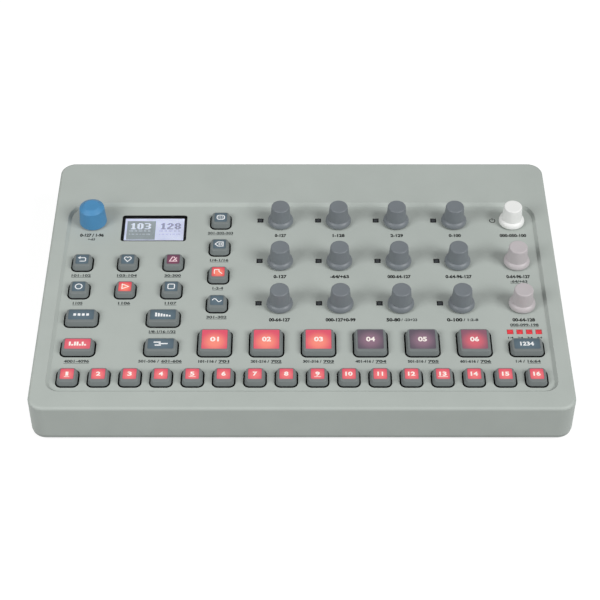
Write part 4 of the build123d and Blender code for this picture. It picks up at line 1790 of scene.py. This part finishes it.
LABELS: tuple[Label, ...] = (
    *KNOB_LABELS,
    *labels(KNOB_DROP, True, False, ("swing_knob", "/ -23+23", 8.2, 3.9)),
    *labels(KNOB_DROP, True, False, ("chance_knob", "/ 1:2-8", 7.7, 4.2)),
    *labels(SECOND_DROP, True, True, ("reverb_size_knob", "-64/+63", 9.0)),
    *labels(SECOND_DROP, True, True, ("delay_time_knob", "000-099-198", 14.6)),
    *labels(DATA_DROP, False, False, ("data_knob", "0-127 / 1-96", 12.8)),
    *labels(DATA_SECOND_DROP, True, False, ("data_knob", "+-63", 3.8)),
    *KEY_LABELS,
    *labels(KEY_DROP, True, False, ("track_key", "501-506 /", 10.4, -5.7), ("page_key", "1:4 /", 4.6, -3.9)),
)


class Tone(NamedTuple):
    """One of the prints in the making, with the height and weight of its figures."""

    maker: PieceMaker
    tall: float
    weight: float


@dataclass
class PanelPrint:
    """Print on the panel: figures in front of the knobs and keys, in two tones of ink."""

    panel: Panel
    lettering: Lettering
    film: float = 0.025
    sink: float = 0.005
    figure_height: float = 1.85
    dark_height: float = 2.4
    dark_weight: float = 0.045
    grey_weight: float = 0.034
    rule_width: float = 0.26
    rule_drop: float = 1.35
    pad_count: int = 6
    pad_range: Pair = (9.3, -3.2)
    pad_number: Pair = (5.4, 5.0)
    page_lamp_count: int = 4
    page_lamp_pitch: float = 4.87
    page_figure_drop: float = 7.5
    page_figure_size: Pair = (2.7, 1.2)
    page_figure_weight: float = 0.03
    power_place: Pair = (-10.24, 1.2)
    power_radius: float = 1.45
    power_weight: float = 0.46
    power_ends: Pair = (125.0, 415.0)
    power_steps: int = 24
    power_line: Pair = (0.2, 1.9)

    def build(self) -> None:
        """Build the dark print and the grey print."""
        dark, grey = PieceMaker(), PieceMaker()
        bold = Tone(dark, self.dark_height, self.dark_weight)
        plain = Tone(grey, self.figure_height, self.grey_weight)
        strong = Tone(grey, self.figure_height, self.dark_weight)
        for label in LABELS:
            self.label(plain if label.grey else bold, label)
        for number in range(1, self.pad_count + 1):
            pad = f"pad_{number}"
            rows = labels(PAD_DROP, True, False, (pad, f"{number}01-{number}16 /", *self.pad_range))
            rows += labels(PAD_DROP, True, True, (pad, f"70{number}", *self.pad_number))
            for label in rows:
                self.label(strong, label)
        self.page_figures(dark)
        self.power_sign(dark)
        matrix = self.panel.matrix()
        settle(dark.build("panel_print_dark", matrix, (DARK_INK,)), CASE_BODY, None)
        settle(grey.build("panel_print_grey", matrix, (GREY_INK,)), CASE_BODY, None)

    def heights(self) -> Pair:
        """Return the underside and the top of the print."""
        return (-self.sink, self.film)

    def label(self, tone: Tone, label: Label) -> None:
        """Add one label.

        Args:
            tone: the print that takes it.
            label: what it says and where.
        """
        extent = self.panel.extent(label.node)
        centre = (extent.across + label.shift, extent.along - label.drop)
        size = (label.width, tone.tall)
        self.lettering.set(tone.maker, label.text, centre, size, self.heights(), 0, tone.weight)
        if label.underlined:
            below = (centre[0], centre[1] - self.rule_drop)
            tone.maker.bar(below, (label.width, self.rule_width), *self.heights(), 0)

    def page_figures(self, maker: PieceMaker) -> None:
        """Add the figures between the page lamps and the page key.

        Args:
            maker: the dark print.
        """
        extent = self.panel.extent("page_key")
        size, weight = self.page_figure_size, self.page_figure_weight
        for step in range(self.page_lamp_count):
            across = extent.across + (step - (self.page_lamp_count - 1) / 2) * self.page_lamp_pitch
            place = (across, extent.along + self.page_figure_drop)
            text = f"{step + 1}:{self.page_lamp_count}"
            self.lettering.set(maker, text, place, size, self.heights(), 0, weight)

    def power_sign(self, maker: PieceMaker) -> None:
        """Add the sign for power beside the volume knob.

        Args:
            maker: the dark print.
        """
        extent = self.panel.extent("main_volume_knob")
        x, y = extent.across + self.power_place[0], extent.along + self.power_place[1]
        ring = arc((x, y), self.power_radius, *self.power_ends, self.power_steps)
        for line in (ring, [(x, y + end) for end in self.power_line]):
            maker.stroke(line, self.power_weight, *self.heights(), 0)


class FootSlot(IntEnum):
    """Where each finish lies on the feet and screws."""

    RUBBER = 0
    STEEL = 1


@dataclass
class Case:
    """Case shells, feet and the screws through them."""

    foot_radius: float = 6.0
    foot_rounding: float = 0.5
    foot_height: float = 2.5
    groove_radius: float = 4.45
    groove_size: float = 0.25
    groove_rounding: float = 0.1
    recess_radius: float = 3.0
    recess_rounding: float = 0.25
    recess_depth: float = 1.3
    passage: float = 1.6
    head_radius: float = 2.6
    head_height: float = 1.0
    head_dome: tuple[Pair, ...] = ((0.75, 0.0), (0.94, 0.2), (1.0, 0.45))
    screw_radius: float = 1.4
    point_length: float = 0.8
    point_share: float = 0.3
    slot_reach: float = 1.5
    slot_width: float = 0.55
    slot_root: float = 0.66
    slot_taper: float = 0.55
    slot_depth: float = 0.6
    slot_tip: float = 0.75
    steps: int = 96

    def build(self) -> None:
        """Dress the shells and the plunger, and build the feet and screws."""
        dressed = {"top_case": CASE_PLASTIC, "bottom_case": BASE_PLASTIC, "data_plunger": STEEL}
        for node, finish in dressed.items():
            for slot in frame["nodes"][node].material_slots:
                slot.material = finish.material()
            LOG.info("%s keeps its solid and takes %s", node, finish.name)
        self.build_feet()

    def foot_places(self) -> list[Pair]:
        """Find the feet from the corners of their node.

        Returns:
            Their places in millimetres.
        """
        low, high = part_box("screw_feet")
        xs = (low.x / MM + self.foot_radius, high.x / MM - self.foot_radius)
        ys = (low.y / MM + self.foot_radius, high.y / MM - self.foot_radius)
        return [(x, y) for x in xs for y in ys]

    def foot_line(self) -> list[Pair]:
        """Draw the outline of a foot, with a groove around its tread.

        Returns:
            Radius and height of its points, from its passage around to its start.
        """
        groove = ((-self.groove_size, 0.0), (0.0, self.groove_size), (self.groove_size, 0.0))
        return rounded_line(
            [
                (self.passage, self.foot_height, 0),
                (self.passage, self.recess_depth, 0),
                (self.recess_radius, self.recess_depth, 0),
                (self.recess_radius, 0.0, self.recess_rounding),
                *((self.groove_radius + away, height, self.groove_rounding) for away, height in groove),
                (self.foot_radius, 0.0, self.foot_rounding),
                (self.foot_radius, self.foot_height, 0),
                (self.passage, self.foot_height, 0),
            ]
        )

    def build_feet(self) -> None:
        """Build the rubber feet and their cross-headed screws."""
        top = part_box("screw_feet")[1].z / MM
        maker = PieceMaker()
        for place in self.foot_places():
            maker.lathe(self.foot_line(), FootSlot.RUBBER, place, self.steps)
            self.screw(maker, place, top)
        piece = maker.build("feet_and_screws", Matrix.Scale(MM, 4), (FOOT_RUBBER, STEEL))
        settle(piece, CASE_BODY, "foot_rubber", "screw_feet")

    def cross_reach(self, direction: Pair) -> float:
        """Return how far the cross recess reaches from the middle in a direction."""
        along, across = sorted((abs(direction[0]), abs(direction[1])), reverse=True)
        return min(self.slot_reach / along, max(self.slot_width / max(TINY, across), self.slot_root))

    def screw(self, maker: PieceMaker, place: Pair, top: float) -> None:
        """Add a screw with a domed head and a cross recess.

        Args:
            maker: the piece.
            place: where it stands.
            top: height of its tip.
        """
        turns = spokes(self.steps)
        cross = [(c * self.cross_reach((c, s)), s * self.cross_reach((c, s))) for c, s in turns]
        head_top, head_low = self.recess_depth, self.recess_depth - self.head_height
        recess = ((self.slot_taper, head_low + self.slot_depth), (1.0, head_low))
        outline = (
            *((self.head_radius * share, head_low + rise) for share, rise in self.head_dome),
            (self.head_radius, head_top),
            (self.screw_radius, head_top),
            (self.screw_radius, top - self.point_length),
            (self.screw_radius * self.point_share, top),
        )
        rings = [maker.turned(cross, point, place) for point in recess]
        rings += [maker.turned(turns, point, place) for point in outline]
        maker.fan(rings[0], (*place, head_low + self.slot_tip), FootSlot.STEEL, last=False)
        maker.skin(rings, FootSlot.STEEL)
        maker.close(rings[-1], FootSlot.STEEL)


class Socket(Enum):
    """Kinds of sockets on the rear board, told apart by the height of their bodies in millimetres."""

    PORT = 4.0
    MINI_JACK = 8.0
    INLET = 12.0
    JACK = 20.0

    @classmethod
    def of_height(cls, tall: float) -> "Socket":
        """Return the first kind whose limit lies over a height."""
        return next(kind for kind in cls if tall < kind.value)


class SocketSlot(IntEnum):
    """Where each finish lies on the sockets."""

    PLASTIC = 0
    STEEL = 1


@dataclass
class RearSockets:
    """Sockets on the rear board: jacks with plated sleeves, a data port, and a power inlet with its pin."""

    bores: dict[Socket, float] = field(default_factory=lambda: {Socket.JACK: 3.25, Socket.MINI_JACK: 1.83})
    sleeve_wall: float = 0.9
    sleeve_length: float = 8.0
    lip: float = 0.12
    lining: float = 0.03
    pin_radius: float = 1.0
    pin_setback: float = 1.0
    pin_length: float = 8.5
    pin_tip: float = 0.3
    steps: int = 48

    def build(self) -> None:
        """Copy the sockets' solids, dress them, and add the plated sleeves and the pin."""
        mesh = frame["nodes"]["rear_sockets"].data
        bodies, plating = PieceMaker(), PieceMaker()
        for solid in islands(mesh):
            low, high = span(co / MM for co in corners_of(mesh, solid))
            kind = Socket.of_height(high[2] - low[2])
            bodies.copy(mesh, solid, SocketSlot.STEEL if kind is Socket.PORT else SocketSlot.PLASTIC)
            centre = (-(low[0] + high[0]) / 2, (low[2] + high[2]) / 2)
            if kind in self.bores:
                plating.lathe(self.sleeve(self.bores[kind], high[1]), 0, centre, self.steps)
            elif kind is Socket.INLET:
                plating.lathe(self.pin(high[1]), 0, centre, self.steps)
        row = bodies.build("socket_row", Matrix.Identity(4), (SOCKET_PLASTIC, STEEL))
        settle(row, CASE_BODY, "socket_plastic", "rear_sockets")
        outward = Matrix(((-MM, 0, 0, 0), (0, 0, MM, 0), (0, MM, 0, 0), (0, 0, 0, 1)))
        plated = plating.build("socket_sleeves", outward, (STEEL,))
        settle(plated, CASE_BODY, "socket_plastic", "rear_sockets")

    def sleeve(self, bore: float, mouth: float) -> list[Pair]:
        """Return the section of a jack's sleeve: a lip on the nose and a lining in the bore.

        Args:
            bore: radius of the bore.
            mouth: how far out the nose ends.

        Returns:
            Radius and distance outwards of its corners, back to the first.
        """
        inner, outer = bore - self.lining, bore + self.sleeve_wall
        return [
            (outer, mouth - self.lip),
            (outer, mouth + self.lip),
            (inner, mouth + self.lip),
            (inner, mouth - self.sleeve_length),
            (outer, mouth - self.lip),
        ]

    def pin(self, mouth: float) -> list[Pair]:
        """Return the section of the inlet's pin.

        Args:
            mouth: how far out the inlet ends.

        Returns:
            Radius and distance outwards of its corners, from its root to its tip.
        """
        wide = self.pin_radius + self.lining
        tip = mouth - self.pin_setback + self.lining
        root = tip - self.pin_length
        return [(0, root), (wide, root), (wide, tip - self.pin_tip), (wide - self.pin_tip, tip), (0, tip)]


class Lamp(NamedTuple):
    """A soft lamp: its name, its place and size in metres, and its power in watts."""

    name: str
    place: Triple
    size: Pair
    power: float


@dataclass
class Studio:
    """Pale floor, soft studio light and the camera at the photograph's angle."""

    eye: Triple = (-0.00092, -0.6264, 0.6212)
    depression: float = 44.25
    lens: float = 98.4
    sensor: float = 36.0
    floor_size: float = 12.0
    floor_tone: float = 0.25
    floor_roughness: float = 0.9
    floor_glow: float = 0.86
    world_strength: float = 0.25
    lamps: tuple[Lamp, ...] = (
        Lamp("left_light", (-0.85, -0.6, 0.85), (0.6, 0.6), 8.0),
        Lamp("right_light", (1.7, -1.0, 1.7), (1.2, 1.2), 44.0),
    )

    def build(self) -> None:
        """Set the floor, the light and the camera."""
        self.build_floor()
        self.build_world()
        for lamp in self.lamps:
            self.hang(lamp)
        self.build_camera()
        bpy.context.scene.view_settings.view_transform = "Standard"

    def build_floor(self) -> None:
        """Lay the floor: white to the camera, with the object's shadow on it."""
        mesh = bpy.data.meshes.new("floor")
        corners = block(0, 0, self.floor_size, self.floor_size)
        mesh.from_pydata([(x, y, 0) for x, y in corners], [], [(0, 1, 2, 3)])
        floor = add_object("floor", mesh)
        shader = Shader("floor_white")
        tone = (self.floor_tone, self.floor_tone, self.floor_tone, 1.0)
        shader.set(Base_Color=tone, Roughness=self.floor_roughness, Specular_IOR_Level=0.0)
        path = shader.node("LightPath")
        seen = path.outputs["Is Camera Ray"]
        for ray in ("Is Glossy Ray", "Is Transmission Ray"):
            either = shader.node("Math")
            either.operation = "MAXIMUM"
            shader.link(seen, either.inputs[0])
            shader.link(path.outputs[ray], either.inputs[1])
            seen = either.outputs[0]
        scaled = shader.node("MapRange", To_Min=0.0, To_Max=self.floor_glow)
        shader.link(seen, scaled.inputs["Value"])
        shader.set(Emission_Color=(1.0, 1.0, 1.0, 1.0))
        shader.feed(scaled.outputs["Result"], "Emission Strength")
        mesh.materials.append(shader.material)

    def build_world(self) -> None:
        """Light the scene evenly from all round, over a white background."""
        world = bpy.data.worlds.new("studio")
        bpy.context.scene.world = world
        world.use_nodes = True
        tree = world.node_tree
        back = next(n for n in tree.nodes if n.type == "BACKGROUND")
        back.inputs["Color"].default_value = (1.0, 1.0, 1.0, 1.0)
        path = tree.nodes.new("ShaderNodeLightPath")
        level = tree.nodes.new("ShaderNodeMapRange")
        level.inputs["To Min"].default_value = self.world_strength
        level.inputs["To Max"].default_value = 1.0
        tree.links.new(path.outputs["Is Camera Ray"], level.inputs["Value"])
        tree.links.new(level.outputs["Result"], back.inputs["Strength"])

    def hang(self, lamp: Lamp) -> None:
        """Hang a lamp that points at the object.

        Args:
            lamp: the lamp.
        """
        light = bpy.data.lights.new(lamp.name, "AREA")
        light.shape, light.energy = "RECTANGLE", lamp.power
        light.size, light.size_y = lamp.size
        holder = add_object(lamp.name, light)
        holder.location = lamp.place
        holder.rotation_euler = (-Vector(lamp.place)).to_track_quat("-Z", "Y").to_euler()

    def build_camera(self) -> None:
        """Stand the camera where the photograph was taken."""
        data = bpy.data.cameras.new("camera")
        data.lens, data.sensor_width, data.sensor_fit = self.lens, self.sensor, "HORIZONTAL"
        camera = add_object("camera", data)
        camera.location = self.eye
        camera.rotation_euler = (math.radians(90 - self.depression), 0, 0)
        bpy.context.scene.camera = camera


def main() -> None:
    """Build and dress every sub-assembly, and set up the studio."""
    logging.basicConfig(level=logging.INFO, format="%(name)s: %(message)s")
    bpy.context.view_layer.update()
    panel = Panel.of_frame(frame["joints"])
    lettering = Lettering()
    Case().build()
    Keys(panel, lettering).build()
    Knobs(panel).build()
    Display(panel).build()
    Boards(panel).build()
    RearSockets().build()
    PanelPrint(panel, lettering).build()
    Studio().build()


if __name__ == "__main__":
    main()
